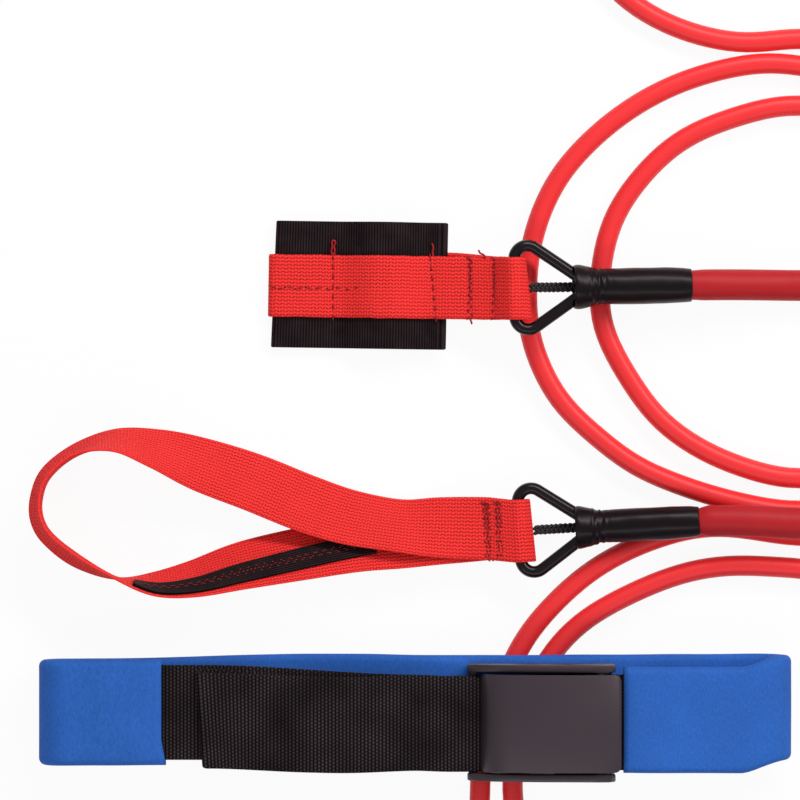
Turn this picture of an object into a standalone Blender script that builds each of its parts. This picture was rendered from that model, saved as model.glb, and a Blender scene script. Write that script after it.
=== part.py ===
"""Swim resistance belt: a foam-padded belt with a cam buckle, and a rubber tether with a webbing
slider at one end and an anchor loop at the other, all laid out flat on the floor.

Sizes are in millimetres and become metres in the mesh helpers. X runs along the belt, Y runs from
the belt towards the slider, Z is up, and the floor is at zero."""

import math

import bmesh
import bpy
from mathutils import Euler, Matrix, Vector

MM = 0.001

# Clearances
TOUCH = 0.3
LOOSE = 0.5
WRAP_GAP = 0.7

# Rubber tube and what is on its ends
TUBE_D = 10.7
TUBE_BORE_D = 5.9
BEND_R = 40.0
TUBE_STEP = 5.0
TUBE_KEPT = 4
SLEEVE_WALL = 2.4
WIRE_D = 6.2
RING_HALF = 21.7
RING_CORNER_R = 6.9
RING_LENGTH = 35.5
CORD_W = 5.5
CORD_T = 2.6
BOOT_START = 31.7
BOOT_END = 93.6
BOOT_WALL = 0.9
PLUG_FACE = 35.4
PLUG_LENGTH = 21.0
BARB_LENGTH = 15.0
CLAMP_WALL = 1.3
CLAMP_LENGTH = 6.0
SLEEVE_START = PLUG_FACE + PLUG_LENGTH + CLAMP_LENGTH + 3.5

# Red webbing: slider strap and anchor loop
STRAP_W = 32.5
STRAP_T = 1.6
STRAP_END_R = 2.0
STRAP_OVERHANG = 9.9
GRIP_W = 13.0
GRIP_T = 1.4
GRIP_LIFT = 1.7
GRIP_LEFT = -141.0
GRIP_RIGHT = -41.0

# Black slider sleeve, whose tunnel takes the belt
TUNNEL_LEFT = -44.5
TUNNEL_RIGHT = 5.0
TUNNEL_H = 8.0
PAD_LEFT = -77.0
PAD_RIGHT = 12.0
PAD_W = 66.0
PAD_T = 1.5
PAD_Y = 110.5
SLIDER_Y = 109.7
SLIDER_YAW = -0.9
SLIDER_LEFT = -79.6
SLIDER_RAMP_START = -30.0

# Belt
BELT_W = 50.0
BELT_T = 1.6
TAIL_W = BELT_W - 0.6
FOAM_EDGE = 2.3
FOAM_W = BELT_W + 2 * FOAM_EDGE
FOAM_T = 10.0
FOAM_CORNER_R = 3.6
BELT_LENGTH = 390.0
BELT_RIGHT = 191.8
BELT_LEFT = BELT_RIGHT - BELT_LENGTH
FOAM_FRONT_END_LEFT = BELT_LEFT + 64.0
FOAM_FRONT_END_RIGHT = BELT_RIGHT - 87.4
BACK_Y = -107.4
FRONT_Y_LEFT = -110.5
FRONT_Y = -114.4
ARCH_LEFT = 26.0
ARCH_RIGHT = 73.0
ARCH_RUN = 95.0
TAIL_FOLD = FOAM_FRONT_END_LEFT + 20.7
TAIL_FOLD_R = 1.9
TAIL_RETURN_END = -50.0
TAIL_HIDDEN_END = 135.0
WEB_HIDDEN_END = 170.0

# Buckle
BUCKLE_LEFT = 23.8
BUCKLE_RIGHT = 100.0
RAIL_T = 4.05
LEVER_SIDE_GAP = 1.0
LEVER_W = BELT_W + 0.2
RAIL_GAP = LEVER_W + 2 * LEVER_SIDE_GAP
LEVER_TAIL = 61.4
LEVER_NOSE = 10.3
LEVER_CROWN = 10.3
LEVER_CORNER_R = 3.5
PIN_X = 92.5
PIN_D = 3.0
PIN_CLEARANCE = 0.15
CAM_R = 7.0
BAR_W = 4.5
BAR_T = 2.4
BOSS_D = 8.0

# Levels that follow from the sizes above
TUBE_Z = TUBE_D / 2 + 0.05
OVER_TUBE = TUBE_D + 0.1 + TOUCH
BACK_FLOOR_Z = FOAM_T / 2
BACK_ARCH_Z = OVER_TUBE + FOAM_T / 2
RETURN_Z = BACK_ARCH_Z + FOAM_T / 2 + 0.4 + BELT_T / 2
BAR_Z = RETURN_Z + BELT_T / 2 + TOUCH + BAR_T / 2
WEB_Z = BAR_Z + BAR_T / 2 + TOUCH + BELT_T / 2
TAIL_Z = WEB_Z + BELT_T + 2 * TOUCH
TAIL_RETURN_Z = WEB_Z + BELT_T + TOUCH
PIN_Z = TAIL_Z + BELT_T / 2 + TOUCH + CAM_R

# The two tether ends: where the ring's bar lies, how the end is turned and tilted, and the
# boot's radii at its collar, neck, middle and rear
ENDS = {
    "a": {
        "bar": Vector((48.3, 110.1, 22.4)),
        "turn": 0.9,
        "tilt": 2.8,
        "boot": (11.6, 8.7, 9.4, 8.6),
        "sleeve_end": Vector((204.8, 111.5, 8.2)),
    },
    "b": {
        "bar": Vector((50.9, -15.9, 14.4)),
        "turn": 3.1,
        "tilt": -2.5,
        "boot": (11.3, 8.2, 8.6, 7.5),
        "sleeve_end": Vector((204.8, -12.0, 17.6)),
    },
}

UP = Vector((0, 0, 1))
ACROSS = Vector((0, 1, 0))


def clear_scene():
    for thing in list(bpy.data.objects):
        bpy.data.objects.remove(thing, do_unlink=True)


def collection(name):
    made = bpy.data.collections.new(name)
    bpy.context.scene.collection.children.link(made)
    return made


clear_scene()
PARTS = collection("swim_resistance_belt")
CUTTERS = collection("cutters")


def material(name, colour, roughness, metallic=0.0):
    made = bpy.data.materials.new(name)
    made.use_nodes = True
    shader = made.node_tree.nodes["Principled BSDF"]
    shader.inputs["Base Color"].default_value = (*colour, 1)
    shader.inputs["Roughness"].default_value = roughness
    shader.inputs["Metallic"].default_value = metallic
    return made


RED_RUBBER = material("red_rubber", (0.78, 0.03, 0.035), 0.35)
DULL_RED_RUBBER = material("dull_red_rubber", (0.42, 0.018, 0.02), 0.5)
RED_WEBBING = material("red_webbing", (0.75, 0.02, 0.025), 0.8)
BLACK_WEBBING = material("black_webbing", (0.012, 0.01, 0.01), 0.85)
BLUE_FOAM = material("blue_foam", (0.03, 0.12, 0.48), 0.9)
BLACK_PLASTIC = material("black_plastic", (0.03, 0.026, 0.03), 0.45)
BLACK_ENAMEL = material("black_enamel", (0.01, 0.01, 0.012), 0.2)
BLACK_SHRINK = material("black_shrink", (0.012, 0.011, 0.012), 0.5)
STEEL = material("steel", (0.6, 0.6, 0.62), 0.3, 1.0)


def new_object(name, data, finish, group=PARTS, place=None):
    made = bpy.data.objects.new(name, data)
    group.objects.link(made)
    data.materials.append(finish)
    if place is not None:
        made.matrix_world = place
    return made


def empty(name, place):
    made = bpy.data.objects.new(name, None)
    PARTS.objects.link(made)
    made.matrix_world = place
    return made


def hang_on(child, parent):
    """Parents a piece and keeps it where it stands."""
    bpy.context.view_layer.update()
    child.parent = parent
    child.matrix_parent_inverse = parent.matrix_world.inverted()


def hide_cutter(made):
    made.hide_render = True
    made.display_type = "WIRE"
    return made


def boolean(target, other, operation):
    modifier = target.modifiers.new(operation.lower(), "BOOLEAN")
    modifier.operation = operation
    modifier.object = other
    hide_cutter(other)


def smooth(points, step, closed=False):
    """Points about a step apart on a smooth curve through these; a point may carry more numbers."""
    count = len(points)
    spans = count if closed else count - 1
    found = []
    for index in range(spans):
        if closed:
            before, start, end, after = (points[(index + k) % count] for k in (-1, 0, 1, 2))
        else:
            before, start, end, after = (
                points[min(max(index + k, 0), count - 1)] for k in (-1, 0, 1, 2)
            )
        pieces = max(1, round(math.dist(start[:3], end[:3]) / step))
        for piece in range(pieces):
            t = piece / pieces
            found.append(
                tuple(
                    0.5
                    * (
                        2 * p1
                        + (p2 - p0) * t
                        + (2 * p0 - 5 * p1 + 4 * p2 - p3) * t * t
                        + (3 * p1 - p0 - 3 * p2 + p3) * t * t * t
                    )
                    for p0, p1, p2, p3 in zip(before, start, end, after)
                )
            )
    if not closed:
        found.append(tuple(points[-1]))
    return found


def ease(share):
    """A smooth step from 0 to 1."""
    share = min(max(share, 0.0), 1.0)
    return share * share * (3 - 2 * share)


def arc(centre, radii, start, end, count):
    """Points on an ellipse in the floor's plane, at the tube's height, between two angles."""
    points = []
    for index in range(count):
        angle = math.radians(start + (end - start) * index / (count - 1))
        points.append(
            (centre[0] + radii[0] * math.cos(angle), centre[1] + radii[1] * math.sin(angle), TUBE_Z)
        )
    return points


def on_floor(*points):
    return [(x, y, TUBE_Z) for x, y in points]


def ribbon(name, stations, width, thickness, finish, closed=False, place=None):
    """A flat band: an open surface along its stations (centre, direction across) made solid."""
    place = place or Matrix.Identity(4)
    into = place.inverted()
    shape = bmesh.new()
    rows = []
    for centre, across in stations:
        half = Vector(across).normalized() * width / 2
        rows.append([shape.verts.new(into @ ((Vector(centre) + side * half) * MM)) for side in (-1, 1)])
    pairs = list(zip(rows, rows[1:]))
    if closed:
        pairs.append((rows[-1], rows[0]))
    for here, there in pairs:
        shape.faces.new((here[0], here[1], there[1], there[0]))
    mesh = bpy.data.meshes.new(name)
    shape.to_mesh(mesh)
    shape.free()
    made = new_object(name, mesh, finish, place=place)
    solidify = made.modifiers.new("thickness", "SOLIDIFY")
    solidify.thickness = thickness * MM
    solidify.offset = 0
    solidify.use_even_offset = True
    return made


def loft(name, rings, finish, group=PARTS):
    """A closed solid through rings of as many points each."""
    shape = bmesh.new()
    loops = [[shape.verts.new(Vector(point) * MM) for point in ring] for ring in rings]
    size = len(loops[0])
    for here, there in zip(loops, loops[1:]):
        for k in range(size):
            shape.faces.new((here[k], here[(k + 1) % size], there[(k + 1) % size], there[k]))
    shape.faces.new(loops[0])
    shape.faces.new(loops[-1])
    bmesh.ops.recalc_face_normals(shape, faces=shape.faces)
    mesh = bpy.data.meshes.new(name)
    shape.to_mesh(mesh)
    shape.free()
    return new_object(name, mesh, finish, group)


def turned(name, profile, finish, place, sides=28, closed=True):
    """A profile of (distance along the axis, radius) turned about the X axis of its place. It
    starts at the rear of its outer side and runs to the front; a closed one returns inside."""
    mesh = bpy.data.meshes.new(name)
    points = [Vector((radius, 0, along)) * MM for along, radius in profile]
    edges = [(k, k + 1) for k in range(len(points) - 1)]
    if closed:
        edges.append((len(points) - 1, 0))
    mesh.from_pydata(points, edges, [])
    made = new_object(name, mesh, finish, place=place @ Matrix.Rotation(math.pi / 2, 4, "Y"))
    screw = made.modifiers.new("turn", "SCREW")
    screw.steps = sides
    screw.render_steps = sides
    screw.use_merge_vertices = True
    screw.merge_threshold = 0.00001
    return made


def wire(name, points, radius, finish, place=None, resolution=4, sizes=None, group=PARTS):
    curve = bpy.data.curves.new(name, "CURVE")
    curve.dimensions = "3D"
    curve.bevel_depth = radius * MM
    curve.bevel_resolution = resolution
    curve.use_fill_caps = True
    line = curve.splines.new("POLY")
    line.points.add(len(points) - 1)
    for index, point in enumerate(points):
        line.points[index].co = (*(Vector(point[:3]) * MM), 1)
        line.points[index].radius = sizes[index] if sizes else 1
    line.use_smooth = True
    return new_object(name, curve, finish, group, place)


def as_mesh(made):
    """The same piece with its curve and modifiers turned into a plain welded mesh."""
    bpy.context.view_layer.update()
    graph = bpy.context.evaluated_depsgraph_get()
    mesh = bpy.data.meshes.new_from_object(made.evaluated_get(graph))
    shape = bmesh.new()
    shape.from_mesh(mesh)
    bmesh.ops.remove_doubles(shape, verts=shape.verts, dist=0.000005)
    bmesh.ops.recalc_face_normals(shape, faces=shape.faces)
    shape.to_mesh(mesh)
    shape.free()
    name = made.name
    group = made.users_collection[0]
    place = made.matrix_world.copy()
    finish = made.data.materials[0]
    bpy.data.objects.remove(made, do_unlink=True)
    mesh.materials.clear()
    return new_object(name, mesh, finish, group, place)


def side_plate(name, outline, half_width, middle, finish, group=PARTS):
    """An outline in X and Z, extruded to both sides of a plane across Y."""
    curve = bpy.data.curves.new(name, "CURVE")
    curve.dimensions = "2D"
    curve.fill_mode = "BOTH"
    curve.extrude = half_width * MM
    line = curve.splines.new("POLY")
    line.points.add(len(outline) - 1)
    for index, (x, z) in enumerate(outline):
        line.points[index].co = (x * MM, z * MM, 0, 1)
    line.use_cyclic_u = True
    place = Matrix.Translation((0, middle * MM, 0)) @ Matrix.Rotation(math.pi / 2, 4, "X")
    return as_mesh(new_object(name, curve, finish, group, place))


def cross_pin(name, x, z, radius, length, middle, finish, group=PARTS, sides=24):
    """A round bar across the belt."""
    place = Matrix.Translation(Vector((x, middle, z)) * MM) @ Matrix.Rotation(math.pi / 2, 4, "X")
    bpy.ops.mesh.primitive_cylinder_add(vertices=sides, radius=radius * MM, depth=length * MM)
    made = bpy.context.object
    made.name = name
    made.matrix_world = place
    for owner in list(made.users_collection):
        owner.objects.unlink(made)
    group.objects.link(made)
    made.data.materials.append(finish)
    return made


def end_place(end):
    turn = Euler((0, math.radians(end["tilt"]), math.radians(end["turn"])), "XYZ")
    return Matrix.Translation(end["bar"] * MM) @ turn.to_matrix().to_4x4()


def end_point(end, along, height=0.0):
    """A point on a tether end's axis, in millimetres."""
    return (end_place(end) @ (Vector((along, 0, height)) * MM)) / MM


def end_route(end, start):
    """The tube's line from a place inside the boot to the rear of the end sleeve."""
    rear = end_point(end, BOOT_END)
    heading = (rear - end_point(end, 0)).normalized()
    finish = end["sleeve_end"] - Vector((4, 0, 0))
    reach = (finish - rear).length
    points = [end_point(end, start), end_point(end, BOOT_END - 10), rear]
    for index in range(1, 7):
        t = index / 6
        lead = rear + heading * reach * t
        last = finish - Vector((1, 0, 0)) * reach * (1 - t)
        points.append(lead.lerp(last, ease(t)))
    return points + [end["sleeve_end"]]


def ring_path():
    """Half of the ring's wire: out along the bar, round the corner and down the leg."""
    corner = Vector((RING_CORNER_R, RING_HALF - RING_CORNER_R, 0))
    foot = Vector((RING_LENGTH, WIRE_D / 2 + TOUCH, 0))
    leg = foot - corner
    lean = math.atan2(leg.y, leg.x)
    swing = math.acos(RING_CORNER_R / leg.length)
    stop = lean + swing
    points = [Vector((0, 0, 0)), Vector((0, corner.y * 0.6, 0))]
    steps = 7
    for index in range(steps + 1):
        angle = math.pi + (stop - math.pi) * index / steps
        points.append(corner + RING_CORNER_R * Vector((math.cos(angle), math.sin(angle), 0)))
    points.append(foot)
    points.append(foot + Vector((3.0, 0, 0)))
    return points


def build_ring(letter, place):
    half = ring_path()
    mirrored = [Vector((point.x, -point.y, 0)) for point in reversed(half[1:])]
    return wire(f"ring_{letter}", mirrored + half, WIRE_D / 2, BLACK_ENAMEL, place)


def boot_profile(end):
    """The boot's outer side, front to rear, as (along, radius)."""
    collar, neck, middle, rear = end["boot"]
    return [
        (BOOT_START, collar - 0.5),
        (BOOT_START + 1.4, collar),
        (BOOT_START + 4.0, collar - 0.3),
        (BOOT_START + 9.0, (collar + neck) / 2),
        (BOOT_START + 12.5, neck),
        (BOOT_START + 16.5, (neck + middle) / 2),
        (BOOT_START + 24.0, middle),
        (BOOT_END - 14.0, middle),
        (BOOT_END - 4.0, (middle + rear) / 2),
        (BOOT_END, rear),
    ]


def squeezed_sleeve_r(end):
    """The end sleeve's radius where the boot grips it."""
    return end["boot"][3] - BOOT_WALL * 0.7 - TOUCH


def build_boot(letter, end, place):
    outside = boot_profile(end)
    rear_bore = squeezed_sleeve_r(end) + TOUCH
    inside = [(along, radius - BOOT_WALL) for along, radius in outside[:5]]
    inside += [
        (SLEEVE_START - 0.6, inside[-1][1]),
        (SLEEVE_START, rear_bore),
        (BOOT_END, rear_bore),
    ]
    return turned(f"boot_{letter}", outside[::-1] + inside, BLACK_SHRINK, place)


def build_plug(letter, end, place):
    collar, neck, _, _ = end["boot"]
    flange = collar - BOOT_WALL - 1.2
    body = neck - BOOT_WALL - TOUCH
    rear = PLUG_FACE + PLUG_LENGTH
    barb = TUBE_BORE_D / 2 - LOOSE
    profile = [(rear + BARB_LENGTH, 0.0), (rear + BARB_LENGTH, barb * 0.7)]
    ridges = 3
    for index in reversed(range(ridges)):
        foot = rear + 1.0 + index * (BARB_LENGTH - 2.0) / ridges
        profile += [(foot + 3.4, barb * 0.85), (foot, barb)]
    profile += [
        (rear, barb * 0.85),
        (rear, body * 0.85),
        (rear - 2.0, body),
        (BOOT_START + 12.0, body),
        (PLUG_FACE + 2.4, flange),
        (PLUG_FACE, flange),
        (PLUG_FACE, 0.0),
    ]
    plug = turned(f"end_plug_{letter}", profile, BLACK_PLASTIC, place, closed=False)
    pocket = (RING_LENGTH + 3.8 - PLUG_FACE) * 2
    bpy.ops.mesh.primitive_cube_add(size=1)
    slot = bpy.context.object
    slot.name = f"wire_pocket_{letter}"
    slot.scale = (pocket * MM, (2 * WIRE_D + 8 * TOUCH) * MM, (WIRE_D + 2 * TOUCH) * MM)
    bpy.ops.object.transform_apply(location=False, rotation=False, scale=True)
    for owner in list(slot.users_collection):
        owner.objects.unlink(slot)
    CUTTERS.objects.link(slot)
    slot.matrix_world = place @ Matrix.Translation(Vector((PLUG_FACE, 0, 0)) * MM)
    boolean(plug, slot, "DIFFERENCE")
    return plug


def build_tube_end(letter, end):
    """The tube's end on the plug's barb, inside the sleeve. Its bore is open for the barb."""
    start = PLUG_FACE + PLUG_LENGTH + TOUCH
    tube = as_mesh(
        wire(f"tube_end_{letter}", end_route(end, start), TUBE_D / 2, RED_RUBBER, resolution=3)
    )
    bore_depth = BARB_LENGTH + 2.0
    bore = as_mesh(
        wire(
            f"barb_bore_{letter}",
            [end_point(end, start - 2), end_point(end, start + bore_depth)],
            TUBE_BORE_D / 2,
            RED_RUBBER,
            resolution=3,
            group=CUTTERS,
        )
    )
    boolean(tube, bore, "DIFFERENCE")
    return tube


def build_end_sleeve(letter, end):
    route = end_route(end, SLEEVE_START)
    full = TUBE_D / 2 + TOUCH + SLEEVE_WALL
    grip = squeezed_sleeve_r(end) / full
    sizes = [grip] * 3 + [1.0] * (len(route) - 3)
    outside = as_mesh(
        wire(
            f"end_sleeve_{letter}", route, full, DULL_RED_RUBBER, resolution=4, sizes=sizes
        )
    )
    lead = [end_point(end, SLEEVE_START - 2)] + route[1:-1] + [route[-1] + Vector((2, 0, 0))]
    bore = as_mesh(
        wire(
            f"sleeve_bore_{letter}",
            lead,
            TUBE_D / 2 + TOUCH,
            DULL_RED_RUBBER,
            resolution=3,
            group=CUTTERS,
        )
    )
    boolean(outside, bore, "DIFFERENCE")
    return outside


def build_clamp(letter, place):
    start = PLUG_FACE + PLUG_LENGTH + 1.5
    inner = TUBE_D / 2 + TOUCH
    outer = inner + CLAMP_WALL
    profile = [
        (start + CLAMP_LENGTH, outer),
        (start, outer),
        (start, inner),
        (start + CLAMP_LENGTH, inner),
    ]
    return turned(f"tube_clamp_{letter}", profile, STEEL, place)


def build_safety_cord(letter, end):
    """The flat safety cord from the strap's end, under the ring's apex, to the plug."""
    under = -(WIRE_D / 2 + TOUCH + CORD_T / 2 + 0.2)
    points = [
        (STRAP_OVERHANG + 0.7, 0, 0),
        (STRAP_OVERHANG + 4.0, 0, -0.6),
        (19.0, 0, under * 0.7),
        (24.0, 0, under),
        (30.0, 0, under),
        (PLUG_FACE - TOUCH, 0, under),
    ]
    place = end_place(end)
    across = place.to_3x3() @ ACROSS
    stations = [((place @ (Vector(point) * MM)) / MM, across) for point in smooth(points, 2.0)]
    return ribbon(f"safety_cord_{letter}", stations, CORD_W, CORD_T, BLACK_WEBBING)


def build_tether_end(letter, end):
    place = end_place(end)
    root = empty(f"tether_end_{letter}", place)
    pieces = [
        build_ring(letter, place),
        build_boot(letter, end, place),
        build_plug(letter, end, place),
        build_tube_end(letter, end),
        build_end_sleeve(letter, end),
        build_clamp(letter, place),
        build_safety_cord(letter, end),
    ]
    for piece in pieces:
        hang_on(piece, root)


def tube_route():
    """The free tube from the slider's end to the anchor's end: three loops beside the straps and
    one that runs under the belt, each closed by an arc."""
    first = ENDS["a"]["sleeve_end"]
    last = ENDS["b"]["sleeve_end"]
    r = BEND_R
    middle_x = 197.0
    route = [
        (first.x + TOUCH, first.y, first.z),
        (first.x + 4, first.y, first.z),
        (first.x + 11, first.y + 0.6, 6.4),
    ]
    route += arc((209.5, 157), (44.7, 45.8), -62, 68, 6)
    route += on_floor(
        (middle_x, 205), (174.5, 202), (155, 196), (134.5, 186), (119, 172.5), (106.5, 156.5),
        (98.5, 140.5), (94.5, 124), (93.5, 109), (94.5, 94.5), (98.5, 81), (107, 66.5),
        (116, 52), (129.5, 38), (148, 25.5), (171, 16.5), (middle_x, 11.5),
    )
    route += arc((middle_x, 118.5), (79, 107), -68, 68, 8)
    route += on_floor(
        (middle_x, 225.5), (181.5, 227), (158, 224), (131.5, 215.5), (108.5, 203), (88, 186.5),
        (74.5, 171), (65.5, 155.5), (58, 134.5), (55.5, 110), (57, 86.5), (63.5, 68.5),
        (72.5, 52), (88.5, 36), (108, 20.5), (128.5, 10.5), (154.5, 1.5), (176, -3),
        (middle_x, -5.5),
    )
    route += arc((middle_x, 117.3), (94.6, 123), -70, 70, 9)
    route += on_floor((middle_x, 240), (174, 238), (150, 241), (128, 248.5), (109, 260))
    route += arc((130.5, 294), (r, r), 207, 98, 5)
    route += on_floor(
        (153, 335), (184, 330.5), (215, 319), (244, 299.5), (268, 273), (286.5, 242),
        (299, 205.5), (305, 166.5), (306, 127.5), (302.5, 88.5), (293, 52), (275.5, 21),
        (250.5, -2.5), (224, -15.5), (middle_x, -18.5), (176, -16), (155, -14), (136.5, -16.5),
        (118.5, -21.8), (95, -33), (78, -46), (63.5, -60.5), (50.5, -79), (42.5, -98),
        (36.5, -117), (32, -133.5), (30.5, -148), (30.5, -156),
    )
    strand_gap = 9.1
    loop_y = -156 - math.sqrt((2 * r) ** 2 - (strand_gap + r) ** 2)
    loop_x = 39.6
    spread = math.degrees(math.asin((strand_gap + r) / (2 * r)))
    route += arc((loop_x - strand_gap - r, -156), (r, r), -20, -40, 2)
    route += arc((loop_x, loop_y), (r, r), 90 + spread + 6, 450 - spread - 6, 11)
    route += arc((loop_x + strand_gap + r, -156), (r, r), -140, -160, 2)
    route += on_floor(
        (48.5, -156), (48, -144.5), (49.5, -131), (53.5, -114.5), (60, -95.5), (69, -79.5),
        (80, -67.5), (95, -56.5), (115, -46.5), (134.5, -39), (155, -35), (174.5, -34.5),
        (middle_x, -36.5),
    )
    route += arc((middle_x, -36.5 - r), (r, r), 68, 20, 3)
    route += arc((middle_x + 2 * r, -36.5 - r), (r, r), 195, 442, 9)
    route += [
        (258.5, -33.5, 6.8),
        (243, -28, 11.0),
        (228, -19.5, 16.6),
        (last.x + 12, last.y - 1.8, 17.7),
        (last.x + 4, last.y, last.z),
        (last.x + TOUCH, last.y, last.z),
    ]
    return route


def faired(points, passes=120, held=3):
    """The same line with its small waves taken out, and its first and last points as they are.
    Each pass pulls the points together and then pushes them back, so large bends keep their size."""
    line = [Vector(point) for point in points]
    for _ in range(passes):
        for pull in (0.5, -0.52):
            inner = [
                here + ((before + after) / 2 - here) * pull
                for before, here, after in zip(line, line[1:], line[2:])
            ]
            line = line[:held] + inner[held - 1:1 - held] + line[-held:]
    return [Vector((point.x, point.y, max(point.z, TUBE_Z))) for point in line]


def report_gap(points):
    """Prints how near the tube comes to itself, measured between points of its centreline."""
    nearest = math.inf
    beyond = 2 * round(TUBE_D / TUBE_STEP) + 1
    for index, here in enumerate(points):
        for there in points[index + beyond:]:
            if math.dist(here, there) < nearest:
                nearest = math.dist(here, there)
                place = [round(value) for value in here]
    length = sum(math.dist(a, b) for a, b in zip(points, points[1:]))
    gap = nearest - TUBE_D
    print(f"resistance tube: {length:.0f} mm long, least gap to itself {gap:.2f} mm at {place}")


def build_tube():
    line = faired(smooth(tube_route(), TUBE_STEP))
    report_gap(line)
    points = line[:2] + line[TUBE_KEPT:-TUBE_KEPT:TUBE_KEPT] + line[-2:]
    return wire("resistance_tube", points, TUBE_D / 2, RED_RUBBER, resolution=2)


def slider_rise(x):
    """How far the slider's layers are lifted towards the ring's bar."""
    bar = ENDS["a"]["bar"]
    share = max(0.0, (x - SLIDER_RAMP_START) / (bar.x - SLIDER_RAMP_START))
    resting = 1.5 * STRAP_T + PAD_T + 1.5 * TOUCH
    return (bar.z - resting) * share * share


def tunnel_opening(x):
    """The height between the slider sleeve's two layers, beyond the sewn edges' gap."""
    share = (x - TUNNEL_LEFT) / (TUNNEL_RIGHT - TUNNEL_LEFT)
    return TUNNEL_H * ease(share / 0.45) * ease((1 - share) / 0.45)


def steps_between(start, end, step):
    count = max(1, round(abs(end - start) / step))
    return [start + (end - start) * k / count for k in range(count + 1)]


def half_turn(centre_x, centre_z, radius, start, end, count=6):
    """Points of an arc in X and Z, its two ends left out."""
    points = []
    for index in range(1, count):
        angle = math.radians(start + (end - start) * index / count)
        points.append((centre_x + radius * math.cos(angle), centre_z + radius * math.sin(angle)))
    return points


def across_stations(line, middle):
    """Stations of a band whose centreline lies in X and Z, its middle across Y set by X."""
    return [(Vector((x, middle(x), z)), ACROSS) for x, z in line]


def slider_stations(line, at_bar):
    """Stations of the slider's layers, which lie askew and turn to meet the ring's bar."""
    found = []
    for x, z in line:
        from_bar = x - ENDS["a"]["bar"].x
        yaw = SLIDER_YAW + (ENDS["a"]["turn"] - SLIDER_YAW) * ease(1 + from_bar / 35)
        y = at_bar + from_bar * math.tan(math.radians(SLIDER_YAW))
        found.append((Vector((x, y, z)), Matrix.Rotation(math.radians(yaw), 3, "Z") @ ACROSS))
    return found


def build_slider_sleeve(pivot):
    """The black sleeve: two layers joined at their ends, apart in the tunnel between."""
    low = STRAP_T + TOUCH + PAD_T / 2
    high = low + PAD_T + TOUCH
    fold = (high - low) / 2
    left, right = PAD_LEFT + fold + PAD_T / 2, PAD_RIGHT - fold - PAD_T / 2
    line = [(x, low + slider_rise(x)) for x in steps_between(left, right, 5.0)]
    line += half_turn(right, low + fold + slider_rise(right), fold, -90, 90, 4)
    line += [(x, high + slider_rise(x) + tunnel_opening(x)) for x in steps_between(right, left, 3.2)]
    line += half_turn(left, low + fold, fold, 90, 270, 4)
    made = ribbon(
        "slider_sleeve", slider_stations(line, PAD_Y), PAD_W, PAD_T, BLACK_WEBBING,
        closed=True, place=pivot.matrix_world.copy(),
    )
    hang_on(made, pivot)


def wrap_round_bar(bar):
    """The strap's turn round a ring's bar, from its lower layer to its upper one: a small loop
    beyond the bar, in X and Z about the bar."""
    hug = WIRE_D / 2 + WRAP_GAP + STRAP_T / 2
    tip = STRAP_END_R
    tip_x = STRAP_OVERHANG - STRAP_T / 2 - tip
    lean = math.degrees(math.asin((hug - tip) / tip_x))
    line = []
    for angle in (-125, -108, -90 + lean):
        line.append((hug * math.cos(math.radians(angle)), hug * math.sin(math.radians(angle))))
    for step in range(7):
        angle = math.radians((-90 + lean) + (180 - 2 * lean) * step / 6)
        line.append((tip_x + tip * math.cos(angle), tip * math.sin(angle)))
    for angle in (90 - lean, 108, 125):
        line.append((hug * math.cos(math.radians(angle)), hug * math.sin(math.radians(angle))))
    return [(bar.x + x, bar.z + z) for x, z in line]


def build_slider_strap(pivot):
    """The red strap: one closed loop under the sleeve, round its left end, over it, and round
    the ring's bar."""
    bar = ENDS["a"]["bar"]
    low = STRAP_T / 2
    high = low + 2 * (PAD_T + TOUCH) + STRAP_T + 2 * TOUCH
    fold = (high - low) / 2
    left = SLIDER_LEFT + fold + STRAP_T / 2
    sewn = bar.x - WIRE_D / 2 - 7.0
    apart = (STRAP_T + TOUCH) / 2
    middle = low + (high - low) / 2
    line = [(x, low + slider_rise(x)) for x in steps_between(left, PAD_RIGHT, 5.0)]
    closing = steps_between(PAD_RIGHT, sewn, 4.0)[1:]
    for x in closing:
        share = ease((x - PAD_RIGHT) / (sewn - PAD_RIGHT) * 1.6)
        line.append((x, middle + slider_rise(x) - fold + (fold - apart) * share))
    line += wrap_round_bar(bar)
    for x in reversed(closing):
        share = ease((x - PAD_RIGHT) / (sewn - PAD_RIGHT) * 1.6)
        line.append((x, middle + slider_rise(x) + fold - (fold - apart) * share))
    line += [(x, high + slider_rise(x) + tunnel_opening(x)) for x in steps_between(PAD_RIGHT, left, 3.2)]
    line += half_turn(left, low + fold, fold, 90, 270, 6)
    made = ribbon(
        "slider_strap", slider_stations(line, SLIDER_Y), STRAP_W, STRAP_T, RED_WEBBING,
        closed=True, place=pivot.matrix_world.copy(),
    )
    hang_on(made, pivot)


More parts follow.
